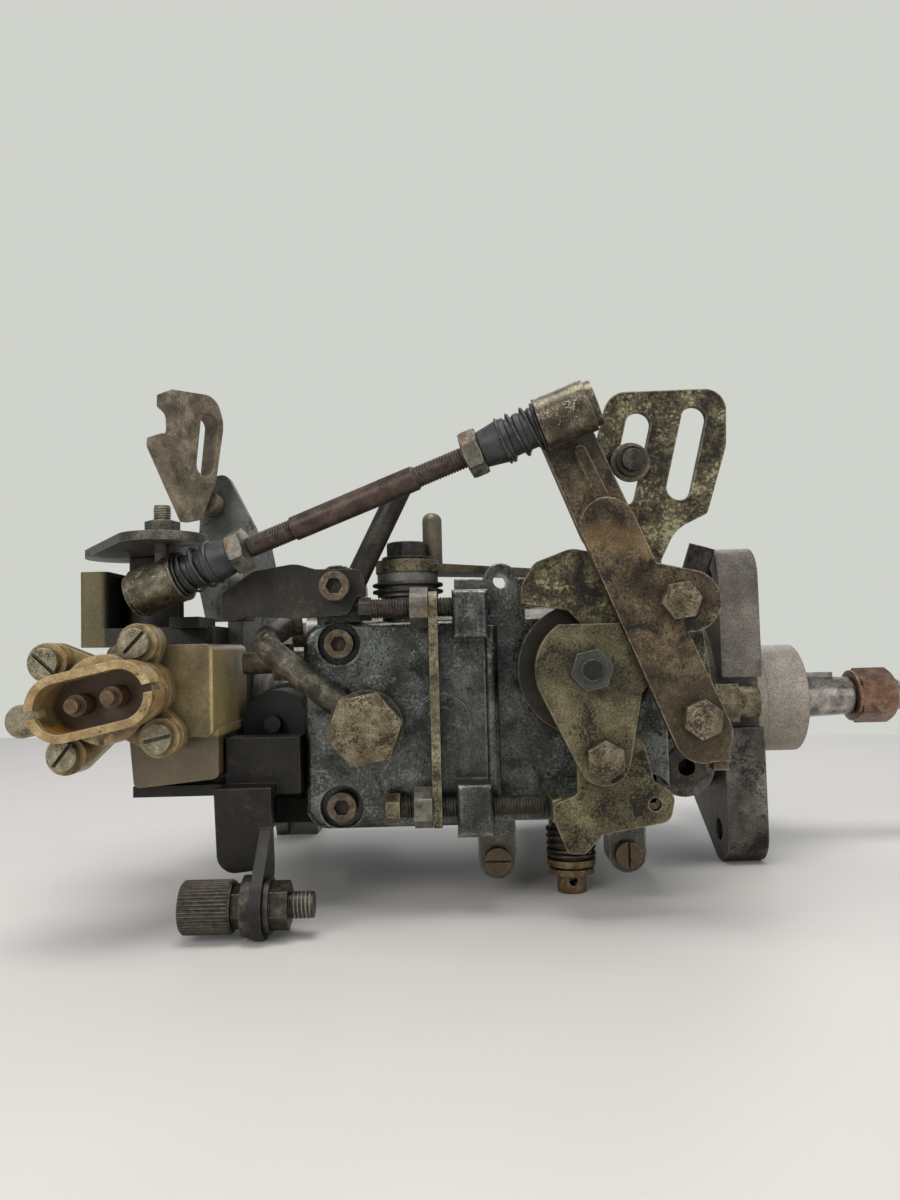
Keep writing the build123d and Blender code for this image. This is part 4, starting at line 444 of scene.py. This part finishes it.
rod_brown = worn(
    "dark_red_brown_rod", [(42, 32, 28), (68, 53, 46), (98, 82, 72)], patch_mm=6, grain=0.22,
    relief_mm=0.05, relief_size_mm=0.5, edge=(142, 126, 112), metallic=0.5, rough=(0.32, 0.52),
)
amber = worn(
    "olive_amber_plastic", [(64, 52, 30), (104, 88, 54), (138, 120, 80)], patch_mm=15, grain=0.20,
    grain_mm=0.6, relief_mm=0.04, relief_size_mm=0.8, edge=(168, 150, 104), edge_wear_and_highlight_amount=0.5,
    stain=(66, 54, 34), stain_mm=14, stain_level=0.54, stain_soft=0.2, metallic=0.0, rough=(0.26, 0.42),
    coat=0.3,
    # the second band is a painted highlight on the housing's right-hand side face
    bands=[([(Z, -40, -1.5)], (94, 82, 58), 0.9), ([(X, -202.0, -190), (Z, -1, 40)], (176, 156, 104), 0.8)],
)
sensor_metal = worn(
    "sensor_column", [(26, 25, 22), (44, 42, 36), (70, 66, 56)], patch_mm=10, grain=0.22,
    relief_mm=0.06, relief_size_mm=0.9, edge=(112, 106, 90), edge_wear_and_highlight_amount=0.5, metallic=0.2,
    rough=(0.40, 0.62), bands=[([(X, -270, -250.5)], (104, 96, 62), 0.85)],
)
cream = worn(
    "aged_cream_nylon", [(112, 88, 52), (160, 134, 88), (200, 178, 132)], patch_mm=7, grain=0.20,
    grain_mm=0.6, relief_mm=0.06, relief_size_mm=1.0, edge=(226, 208, 164), edge_wear_and_highlight_amount=0.5,
    crevice_shade=(56, 44, 28), specks=(58, 46, 28), speck_mm=1.2, speck_level=0.66,
    stain=(116, 90, 52), stain_level=0.55, metallic=0.0, rough=(0.30, 0.5),
    bands=[
        ([(Y, -114.8, -100)], (112, 98, 72), 0.8), ([(Y, -118.3, -117.6)], (84, 56, 28), 0.95),
        ([(Y, -131, -119), (X, -245.5, -240), (Z, 2, 16)], (206, 142, 56), 0.8),
    ],
    coat=0.2,
)
brown_pin = worn(
    "brown_clear_plastic", [(72, 52, 34), (100, 78, 54), (132, 108, 80)], patch_mm=4, grain=0.08,
    relief_mm=0.02, edge=(180, 142, 100), metallic=0.0, rough=(0.2, 0.35),
)
black = worn(
    "black_plastic", [(14, 14, 15), (24, 24, 24), (38, 38, 37)], patch_mm=10, grain=0.15,
    relief_mm=0.05, edge=(66, 66, 64), metallic=0.0, rough=(0.4, 0.62), crevice_shade=(6, 6, 6),
)
boot_rubber = worn(
    "grey_black_boot", [(24, 25, 26), (42, 44, 45), (70, 72, 72)], patch_mm=6, grain=0.18,
    relief_mm=0.04, edge=(104, 104, 100), metallic=0.1, rough=(0.34, 0.56), crevice_shade=(8, 8, 8),
)
rubber = worn(
    "seal_rubber", [(18, 18, 18), (26, 26, 25), (36, 35, 34)], patch_mm=6, grain=0.1,
    relief_mm=0.03, metallic=0.0, rough=(0.6, 0.8), crevice_shade=(8, 8, 8),
)
bronze = worn(
    "bronze", [(110, 82, 48), (150, 118, 74), (184, 154, 106)], patch_mm=6, grain=0.15,
    relief_mm=0.02, edge=(214, 186, 138), metallic=0.7, rough=(0.3, 0.5),
)

# the CAD nodes that each material covers
finishes = {
    casting: ["governor_cover", "timing_covers"],
    housing_casting: ["pump_housing"],
    machined: ["distributor_head", "feed_pump_ring", "feed_pump_plate", "feed_pump_rotor",
               "governor_drive_gear", "cross_coupling", "cam_plate", "plunger", "roller_ring",
               "governor_shaft", "governor_cage", "flyweights", "governor_sleeve",
               "governor_lever", "control_collar", "timing_piston", "distributor_barrel"],
    shaft_steel: ["drive_shaft"],
    plated: ["control_lever", "stop_lever_plate"],
    quadrant_plate: ["slotted_quadrant"],
    strap_plate: ["stop_screw_plate"],
    throttle_plate: ["throttle_shaft"],
    cold_parts: ["cold_start_lever"],
    long_plate: ["long_lever"],
    dark_plate: ["bracket_arm"],
    black_steel: ["support_bracket"],
    bracket_grey: ["rear_bracket"],
    hook_steel: ["cable_hook"],
    grey_steel: ["sensor_lever"],
    bolt_tan: ["lever_bolts", "return_banjo_bolt", "head_fittings", "flange_plug"],
    fitting_brass: ["pressure_fitting"],
    rusty: ["socket_screws", "lever_pivot_screws", "full_load_screw"],
    nut_copper: ["shaft_nut"],
    dark_screw: ["stop_screws", "adjuster_screw", "vent_pipe", "inlet_union"],
    nut_grey: ["stop_screw_locknuts"],
    screw_brass: ["slotted_screws"],
    pipe_steel: ["return_pipe"],
    spring_wire: ["return_spring", "inner_springs"],
    socket_metal: ["ball_sockets"],
    rod_brown: ["link_rod"],
    amber: ["sensor_housing"],
    sensor_metal: ["sensor_body"],
    cream: ["connector_shell"],
    brown_pin: ["connector_pins"],
    black: ["stop_solenoid"],
    rubber: ["shaft_seal"],
    bronze: ["shaft_bush"],
}


# ---- smooth shading and the nodes' materials ----
SMOOTH_ANGLE = math.radians(32)


def make_smoother():
    """A node group that shades curved faces smooth and keeps sharp edges."""
    group = bpy.data.node_groups.new("smooth_by_angle", "GeometryNodeTree")
    group.interface.new_socket("Geometry", in_out="INPUT", socket_type="NodeSocketGeometry")
    group.interface.new_socket("Geometry", in_out="OUTPUT", socket_type="NodeSocketGeometry")
    source = group.nodes.new("NodeGroupInput")
    sink = group.nodes.new("NodeGroupOutput")
    angle = group.nodes.new("GeometryNodeInputMeshEdgeAngle")
    compare = group.nodes.new("FunctionNodeCompare")
    compare.operation = "LESS_THAN"
    compare.inputs[1].default_value = SMOOTH_ANGLE
    faces = group.nodes.new("GeometryNodeSetShadeSmooth")
    edges = group.nodes.new("GeometryNodeSetShadeSmooth")
    edges.domain = "EDGE"
    links = group.links
    links.new(source.outputs[0], faces.inputs["Geometry"])
    links.new(faces.outputs[0], edges.inputs["Geometry"])
    links.new(angle.outputs["Unsigned Angle"], compare.inputs[0])
    links.new(compare.outputs[0], edges.inputs["Shade Smooth"])
    links.new(edges.outputs[0], sink.inputs[0])
    return group


smoother = make_smoother()


def smooth(obj):
    """Shades an object by the angle between its faces."""
    modifier = obj.modifiers.new("smooth", "NODES")
    modifier.node_group = smoother


for material, names in finishes.items():
    for name in names:
        data = nodes[name].data
        data.materials.clear()
        data.materials.append(material)
for node in nodes.values():
    smooth(node)


# ---- shapes for new pieces ----
OUT, UP, DRIVE, REAR = (0, -1, 0), (0, 0, 1), (1, 0, 0), (-1, 0, 0)
WIRE_SIDES, WIRE_STEPS_PER_TURN = 8, 28
THREAD_SIDES, THREAD_ROWS_PER_TURN = 36, 6
THREAD_DEPTH, THREAD_CHAMFER = 0.58, 0.9  # in pitches
THREAD_END_CUT = 1.1  # in thread depths
HEX_SIDES = 72
HEX_CROWN = 0.94  # the flat end's radius, as a share of half the width across flats
HEX_CHAMFER = math.radians(30)
HEX_BORE_START = 0.97  # of the bore's radius at the far end
TURNED_SIDES = 48


class Axis:
    """A line through a place: heights run along it, radii and angles lie round it."""

    def __init__(self, place, direction):
        self.origin = Vector(place) * MM
        self.along = Vector(direction).normalized()
        guide = Vector((0, 1, 0)) if abs(self.along.x) > 0.7 else Vector((1, 0, 0))
        self.side = (guide - self.along * guide.dot(self.along)).normalized()
        self.across = self.along.cross(self.side)

    def out(self, angle):
        """Unit vector away from the axis, at an angle."""
        return self.side * math.cos(angle) + self.across * math.sin(angle)

    def point(self, height, radius, angle):
        """A point given by its height, radius and angle."""
        return self.origin + (self.out(angle) * radius + self.along * height) * MM


def angles_round(count):
    """Evenly spaced angles of a full turn."""
    return [2 * math.pi * step / count for step in range(count)]


def skin(rings, closed=False):
    """Points and faces of a tube of rings, whose ends are capped, or joined when it is closed."""
    count, around = len(rings), len(rings[0])
    points = [point for ring in rings for point in ring]
    faces = []
    for low in range(count if closed else count - 1):
        high = (low + 1) % count
        for here in range(around):
            beside = (here + 1) % around
            faces.append((low * around + here, low * around + beside,
                          high * around + beside, high * around + here))
    if not closed:
        faces.append(tuple(reversed(range(around))))
        faces.append(tuple(range((count - 1) * around, count * around)))
    return points, faces


def add_piece(name, shape, made_of, replaced=(), smoothed=True):
    """A new piece of (points, faces), made of a (material, body, slot); the slot is not used."""
    material, body, slot = made_of
    points, faces = shape
    mesh = bpy.data.meshes.new(name)
    mesh.from_pydata(points, [], faces)
    mesh.validate()
    mesh.materials.append(material)
    obj = bpy.data.objects.new(name, mesh)
    bpy.context.scene.collection.objects.link(obj)
    if smoothed:
        smooth(obj)
    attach(obj, body)
    if replaced:
        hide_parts(*replaced)


def coil(name, axis, mean_radius, wire_radius, start, end, turns, made_of, replaced=()):
    """A helical spring whose end turns lie flat."""
    steps = int(turns * WIRE_STEPS_PER_TURN)
    low, high = start + wire_radius, end - wire_radius
    rising_turns = max(turns - 2, 0.01)
    rings = []
    for step in range(steps + 1):
        turned = turns * step / steps
        rise = min(1.0, max(0.0, (turned - 1) / rising_turns))
        angle = 2 * math.pi * turned
        out = axis.out(angle) * wire_radius * MM
        down = axis.along * -wire_radius * MM
        centre = axis.point(low + (high - low) * rise, mean_radius, angle)
        rings.append([
            centre + out * math.cos(around) + down * math.sin(around) for around in angles_round(WIRE_SIDES)
        ])
    add_piece(name, skin(rings), made_of, replaced)


def thread(name, axis, radius, start, end, pitch, made_of, replaced=()):
    """A threaded rod with a real helical groove and chamfered ends."""
    rows = max(2, int((end - start) / pitch * THREAD_ROWS_PER_TURN))
    depth = THREAD_DEPTH * pitch
    rings = []
    for row in range(rows + 1):
        height = start + (end - start) * row / rows
        from_end = min(height - start, end - height)
        chamfer = THREAD_END_CUT * depth * max(0.0, 1.0 - from_end / (THREAD_CHAMFER * pitch))
        ring = []
        for angle in angles_round(THREAD_SIDES):
            phase = (height / pitch - angle / (2 * math.pi)) % 1.0
            groove = depth * (1 - abs(2 * phase - 1))
            ring.append(axis.point(height, radius - max(groove, chamfer), angle))
        rings.append(ring)
    add_piece(name, skin(rings), made_of, replaced, smoothed=False)


def hex_piece(name, axis, flats, start, end, made_of, corner=0.0, bore=0.0, both=False):
    """A hexagonal head or nut, one corner at an angle in degrees, with one or both ends chamfered."""
    turn = math.radians(corner) + math.pi / 6  # reach() has a side's middle at angle 0
    crown = flats / 2 * HEX_CROWN

    def reach(angle):
        """Distance from the axis to the hexagon's side at an angle."""
        return flats / 2 / math.cos((angle + math.pi / 6) % (math.pi / 3) - math.pi / 6)

    def drop(angle):
        """How far the chamfer falls from the crown to the side at an angle."""
        return (reach(angle) - crown) * math.tan(HEX_CHAMFER)

    def outline(height, falling):
        """The hexagon at a height, its chamfer falling down (-1), up (1) or not at all (0)."""
        return [
            axis.point(height + falling * drop(angle), reach(angle), angle + turn)
            for angle in angles_round(HEX_SIDES)
        ]

    def circle(height, radius):
        """A round edge at a height."""
        return [axis.point(height, radius, angle + turn) for angle in angles_round(HEX_SIDES)]

    rings = [circle(start, crown), outline(start, 1)] if both else [outline(start, 0)]
    rings += [outline(end, -1), circle(end, crown)]
    if bore:
        rings += [circle(end, bore), circle(start, bore * HEX_BORE_START)]
    add_piece(name, skin(rings, closed=bool(bore)), made_of)


def turned_piece(name, axis, profile, made_of, replaced=(), closed=False):
    """A lathe-turned piece from (height, radius) points, solid, or a ring when it is closed."""
    rings = [
        [axis.point(height, radius, angle) for angle in angles_round(TURNED_SIDES)]
        for height, radius in profile
    ]
    add_piece(name, skin(rings, closed), made_of, replaced)


def disc(name, axis, radius, start, end, made_of, bore=0.0, edge=0.3, replaced=()):
    """A round washer, shank or ring with rounded edges."""
    part_edge = edge * 0.3
    profile = [
        (start, radius - edge), (start + part_edge, radius - part_edge), (start + edge, radius),
        (end - edge, radius), (end - part_edge, radius - part_edge), (end, radius - edge),
    ]
    if bore:
        profile = [(start, bore)] + profile + [(end, bore)]
    turned_piece(name, axis, profile, made_of, replaced, closed=bool(bore))


def ridged(name, axis, radius, depth, ridges, start, end, made_of):
    """A knurled ring with straight ridges and chamfered ends."""
    chamfer = 0.8
    levels = [(start, chamfer), (start + chamfer, 0), (end - chamfer, 0), (end, chamfer)]
    rings = [
        [
            axis.point(height, radius - inset - (depth if step % 4 in (0, 1) else 0), angle)
            for step, angle in enumerate(angles_round(ridges * 4))
        ]
        for height, inset in levels
    ]
    add_piece(name, skin(rings), made_of)


# ---- new pieces: what they are made of ----
STEEL = "fastener_steel"
PUMP_SCREW = (dark_screw, "pump", STEEL)
PUMP_BOLT = (bolt_tan, "pump", STEEL)
THROTTLE_BOLT = (bolt_tan, "throttle", STEEL)
THROTTLE_STUD = (dark_screw, "throttle", STEEL)
SHAFT_NUT = (nut_copper, "drive", STEEL)


def make_stop_screws():
    """Two threaded stop screws in place of plain ones, with small hexagonal heads."""
    upper, lower = (0, -97.0, 39.5), (0, -97.0, -27.5)
    radius, pitch = 3.5, 1.0
    for name, place, start, end in (
        ("stop_screw_upper_thread", upper, -154.4, -110.0),
        ("stop_screw_lower_thread", lower, -146.7, -93.6),
    ):
        thread(name, Axis(place, DRIVE), radius, start, end, pitch, PUMP_SCREW, ("stop_screws",))
    for name, place, flats, start, end, made_of in (
        ("stop_screw_upper_head", upper, 6.8, 150.4, 154.5, PUMP_SCREW),
        ("stop_screw_lower_head", lower, 8.5, 142.0, 146.8, PUMP_BOLT),
    ):
        hex_piece(name, Axis(place, REAR), flats, start, end, made_of, corner=30)


def make_throttle_spring():
    """The wound return spring behind the throttle levers."""
    coil("throttle_return_spring", Axis((-79.8, 0, 17.5), OUT), 16.6, 1.3, 82.5, 101.2, 5.5,
         (spring_wire, "throttle", "spring_steel"), ("return_spring",))


def make_lever_bolts():
    """Three bolts through the throttle levers, with their nuts behind."""
    flats, crown_radius, shank_radius = 11.0, 4.2, 3.0
    head, nut, behind = 4.6, 4.9, 6.5
    for name, place, back, face, corner in (
        ("knee_bolt", (-51.6, 0, 38.5), 109.0, 119.5, 8),
        ("foot_bolt", (-46.3, 0, 1.4), 109.0, 119.5, 22),
        ("plate_bolt", (-76.2, 0, -10.8), 108.5, 116.0, 30),
    ):
        axis = Axis(place, OUT)
        disc(name + "_shank", axis, shank_radius, back - behind, face, THROTTLE_BOLT,
             replaced=("lever_bolts",))
        hex_piece(name + "_head", axis, flats, face, face + head, THROTTLE_BOLT, corner)
        disc(name + "_crown", axis, crown_radius, face + head - 0.4, face + head + 0.25, THROTTLE_BOLT)
        hex_piece(name + "_nut", axis, flats, back - nut - 0.1, back - 0.1, THROTTLE_BOLT, 10, both=True)
    disc("foot_bolt_spacer", Axis((-46.3, 0, 1.4), OUT), 6.5, 112.0, 116.0, THROTTLE_BOLT)


def make_quadrant_clamp():
    """The stud that clamps in the quadrant's slot, with its washer and collar."""
    axis = Axis((-64.0, 0, 84.1), OUT)
    disc("quadrant_clamp", axis, 3.7, 105.0, 118.2, THROTTLE_STUD, edge=1.0)
    disc("quadrant_clamp_washer", axis, 6.4, 112.05, 113.6, THROTTLE_BOLT)
    disc("quadrant_clamp_collar", axis, 5.0, 113.6, 116.0, THROTTLE_STUD)


def make_ball_stud():
    """The ball stud at the top of the long lever."""
    axis = Axis((-86.7, 0, 96.3), OUT)
    centre, radius = 128, 4.2
    disc("ball_stud_shank", axis, 2.8, 110.7, 126.0, THROTTLE_STUD)
    hex_piece("ball_stud_nut", axis, 8.0, 110.7, 114.1, THROTTLE_STUD, both=True)
    profile = [
        (centre - radius * math.cos(math.radians(angle)), radius * math.sin(math.radians(angle)))
        for angle in range(12, 180, 12)
    ]
    turned_piece("ball_stud_ball", axis, profile, THROTTLE_STUD)


def make_link():
    """The link's rod threads, lock nuts, rubber boots with wire springs, and barrel end rings."""
    front_ball, rear_ball = Vector((-86.7, -128.0, 96.3)), Vector((-220.0, -101.9, 49.2))
    rearward = rear_ball - front_ball
    from_front, from_rear = Axis(front_ball, rearward), Axis(rear_ball, -rearward)
    rod_end = rearward.length
    rod_screw = (dark_screw, "link", "dark_steel")
    thread("link_thread_front", from_front, 3.55, 33.4, 50.0, 1.0, rod_screw)
    thread("link_thread_rear", from_front, 3.55, rod_end - 50.4, rod_end - 33.4, 1.0, rod_screw)
    turned_piece("link_rod_collar", from_front, [(49.6, 3.25), (50.6, 4.0), (62.2, 4.05), (62.6, 3.9)],
                 (rod_brown, "link", "dark_steel"))
    boot = [
        (8.1, 6.3), (10, 6.6), (11, 6.0), (13, 6.0), (13.5, 6.5), (15, 6.5), (15.5, 6.0), (18, 6.1),
        (18.5, 6.9), (20, 6.95), (21, 6.8), (27.45, 5.8),
    ]
    for end, axis in (("front", from_front), ("rear", from_rear)):
        turned_piece(f"boot_{end}", axis, boot, (boot_rubber, "link", "seal_rubber"))
        coil(f"boot_spring_{end}", axis, 7.1, 0.5, 8.2, 21.0, 4.5, (spring_wire, "link", "spring_steel"))
        hex_piece(f"link_nut_{end}", axis, 12.9, 27.6, 33.3, (nut_grey, "link", STEEL), 20, both=True)
        disc(f"barrel_lip_{end}", axis, 8.45, 6.9, 8.15, (socket_metal, "link", "plated_steel"), edge=0.25)


def make_shaft_end():
    """The shaft's end thread, with its nut and washer in place of the plain nut."""
    axis = Axis((0, 0, 0), DRIVE)
    bore = 7.4
    hex_piece("shaft_nut_hex", axis, 21.0, 54.4, 69.9, SHAFT_NUT, 30, bore)
    disc("shaft_washer", axis, 11.2, 52.8, 54.4, SHAFT_NUT, bore, replaced=("shaft_nut",))
    thread("shaft_end_thread", axis, 7.35, 52.0, 73.95, 1.5, (shaft_steel, "drive", "hardened_steel"))


def make_return_union():
    """The head and shank of the return union's hollow bolt."""
    axis = Axis((-152.6, 0, -0.2), OUT)
    hex_piece("banjo_bolt_head", axis, 22.0, 103.4, 109.4, PUMP_BOLT, 10)
    disc("banjo_bolt_shank", axis, 5.95, 80.0, 103.4, PUMP_BOLT, replaced=("return_banjo_bolt",))


def make_cold_start_spindle():
    """The cold-start lever's bolt head, washer and torsion spring."""
    axis = Axis((-138.8, -75.0, 0), UP)
    made_of = (dark_screw, "cold_start", STEEL)
    hex_piece("cold_start_head", axis, 13.3, 58.8, 64.3, made_of, 20)
    disc("cold_start_washer", axis, 9.2, 57.4, 58.9, made_of)
    coil("cold_start_spring", axis, 12.2, 0.7, 45.6, 49.4, 2.3, (spring_wire, "cold_start", "spring_steel"))


def make_adjuster():
    """The adjuster's knurled knob and threaded stem."""
    axis = Axis((0, -116.0, -53.3), DRIVE)
    ridged("adjuster_knurl", axis, 8.25, 0.45, 44, -209.6, -193.4, PUMP_SCREW)
    thread("adjuster_thread", axis, 4.35, -176.0, -168.55, 1.25, (nut_grey, "pump", STEEL))


def make_sensor_stud():
    """The stud's thread above its nut on the sensor lever."""
    thread("sensor_stud_thread", Axis((-220.0, -100.0, 0), UP), 2.95, 68.0, 75.95, 0.8,
           (screw_brass, "sensor_crank", STEEL))


def make_fitting_spring():
    """The coil spring above the pressure fitting's union nut."""
    coil("fitting_spring", Axis((-82.0, -70.0, 0), UP), 8.3, 0.75, -50.5, -40.2, 5.5,
         (dark_screw, "pump", "spring_steel"))


def make_head_threads():
    """Threads of the four delivery valves and of the full-load screw."""
    valve_circle = 22
    for number in range(4):
        angle = math.radians(45 + 90 * number)
        place = (0, valve_circle * math.cos(angle), valve_circle * math.sin(angle))
        thread(f"valve_thread_{number}", Axis(place, DRIVE), 6.3, -232.5, -222.0, 1.5,
               (nut_grey, "pump", STEEL))
    thread("full_load_thread", Axis((0, -78.0, 22.0), DRIVE), 4.25, -184.0, -181.1, 1.0, PUMP_SCREW)


make_stop_screws()
make_throttle_spring()
make_lever_bolts()
make_quadrant_clamp()
make_ball_stud()
make_link()
make_shaft_end()
make_return_union()
make_cold_start_spindle()
make_adjuster()
make_sensor_stud()
make_fitting_spring()
make_head_threads()


# ---- floor, backdrop and light ----
TABLE_COLOUR, WALL_COLOUR = (222, 219, 214), (208, 210, 204)
SKY_COLOUR, SKY_STRENGTH = (0.93, 0.96, 1.0, 1.0), 0.40
AIM = (-0.1, -0.05, 0.02)


def stage_material(name, colour, roughness):
    """A plain surface with a trace of tone, for the table."""
    shade = Shade(name)
    tone = shade.fit(shade.noise(60.0, detail=2.0), *BROAD, 0.975, 1.0)
    return shade.done(shade.multiply(srgb(*colour), tone), roughness, 0.0)


def make_floor():
    """The white table top, which ends behind the pump as in the photograph."""
    near, far_left, far_right, side = -1.2, 0.856, 0.12, 1.6
    outline = [(-side, near), (side, near), (side, far_right), (-side, far_left)]
    corners = [(x, y, FLOOR_Z) for x, y in outline]
    mesh = bpy.data.meshes.new("table_top")
    mesh.from_pydata(corners, [], [(0, 1, 2, 3)])
    mesh.materials.append(stage_material("white_table", TABLE_COLOUR, 0.45))
    obj = bpy.data.objects.new("table_top", mesh)
    bpy.context.scene.collection.objects.link(obj)


def make_world():
    """Soft light from all round, and a pale wall behind for the camera."""
    world = bpy.data.worlds.new("studio")
    bpy.context.scene.world = world
    world.use_nodes = True
    tree = world.node_tree
    tree.nodes.clear()
    path = tree.nodes.new("ShaderNodeLightPath")
    light = tree.nodes.new("ShaderNodeBackground")
    wall = tree.nodes.new("ShaderNodeBackground")
    mix = tree.nodes.new("ShaderNodeMixShader")
    output = tree.nodes.new("ShaderNodeOutputWorld")
    light.inputs["Color"].default_value = SKY_COLOUR
    light.inputs["Strength"].default_value = SKY_STRENGTH
    wall.inputs["Color"].default_value = srgb(*WALL_COLOUR)
    wall.inputs["Strength"].default_value = 1.0
    tree.links.new(path.outputs["Is Camera Ray"], mix.inputs[0])
    tree.links.new(light.outputs[0], mix.inputs[1])
    tree.links.new(wall.outputs[0], mix.inputs[2])
    tree.links.new(mix.outputs[0], output.inputs[0])


def area_light(name, place, size, power, colour=(1, 1, 1)):
    """A square soft light aimed at the pump."""
    data = bpy.data.lights.new(name, "AREA")
    data.shape = "SQUARE"
    data.size = size
    data.energy = power
    data.color = colour
    obj = bpy.data.objects.new(name, data)
    obj.location = place
    obj.rotation_euler = (Vector(AIM) - Vector(place)).to_track_quat("-Z", "Y").to_euler()
    bpy.context.scene.collection.objects.link(obj)


make_floor()
make_world()
area_light("overhead", (-0.2, -0.25, 1.0), 0.5, 6.0, (1.0, 0.99, 0.96))
area_light("front_left", (-0.7, -1.0, 0.55), 0.6, 5.0, (1.0, 0.98, 0.95))
area_light("front_right", (0.7, -0.9, 0.4), 0.8, 2.5, (0.95, 0.97, 1.0))
area_light("back", (0.1, 0.9, 0.9), 0.8, 3.5)

bpy.context.scene.view_settings.view_transform = "Standard"
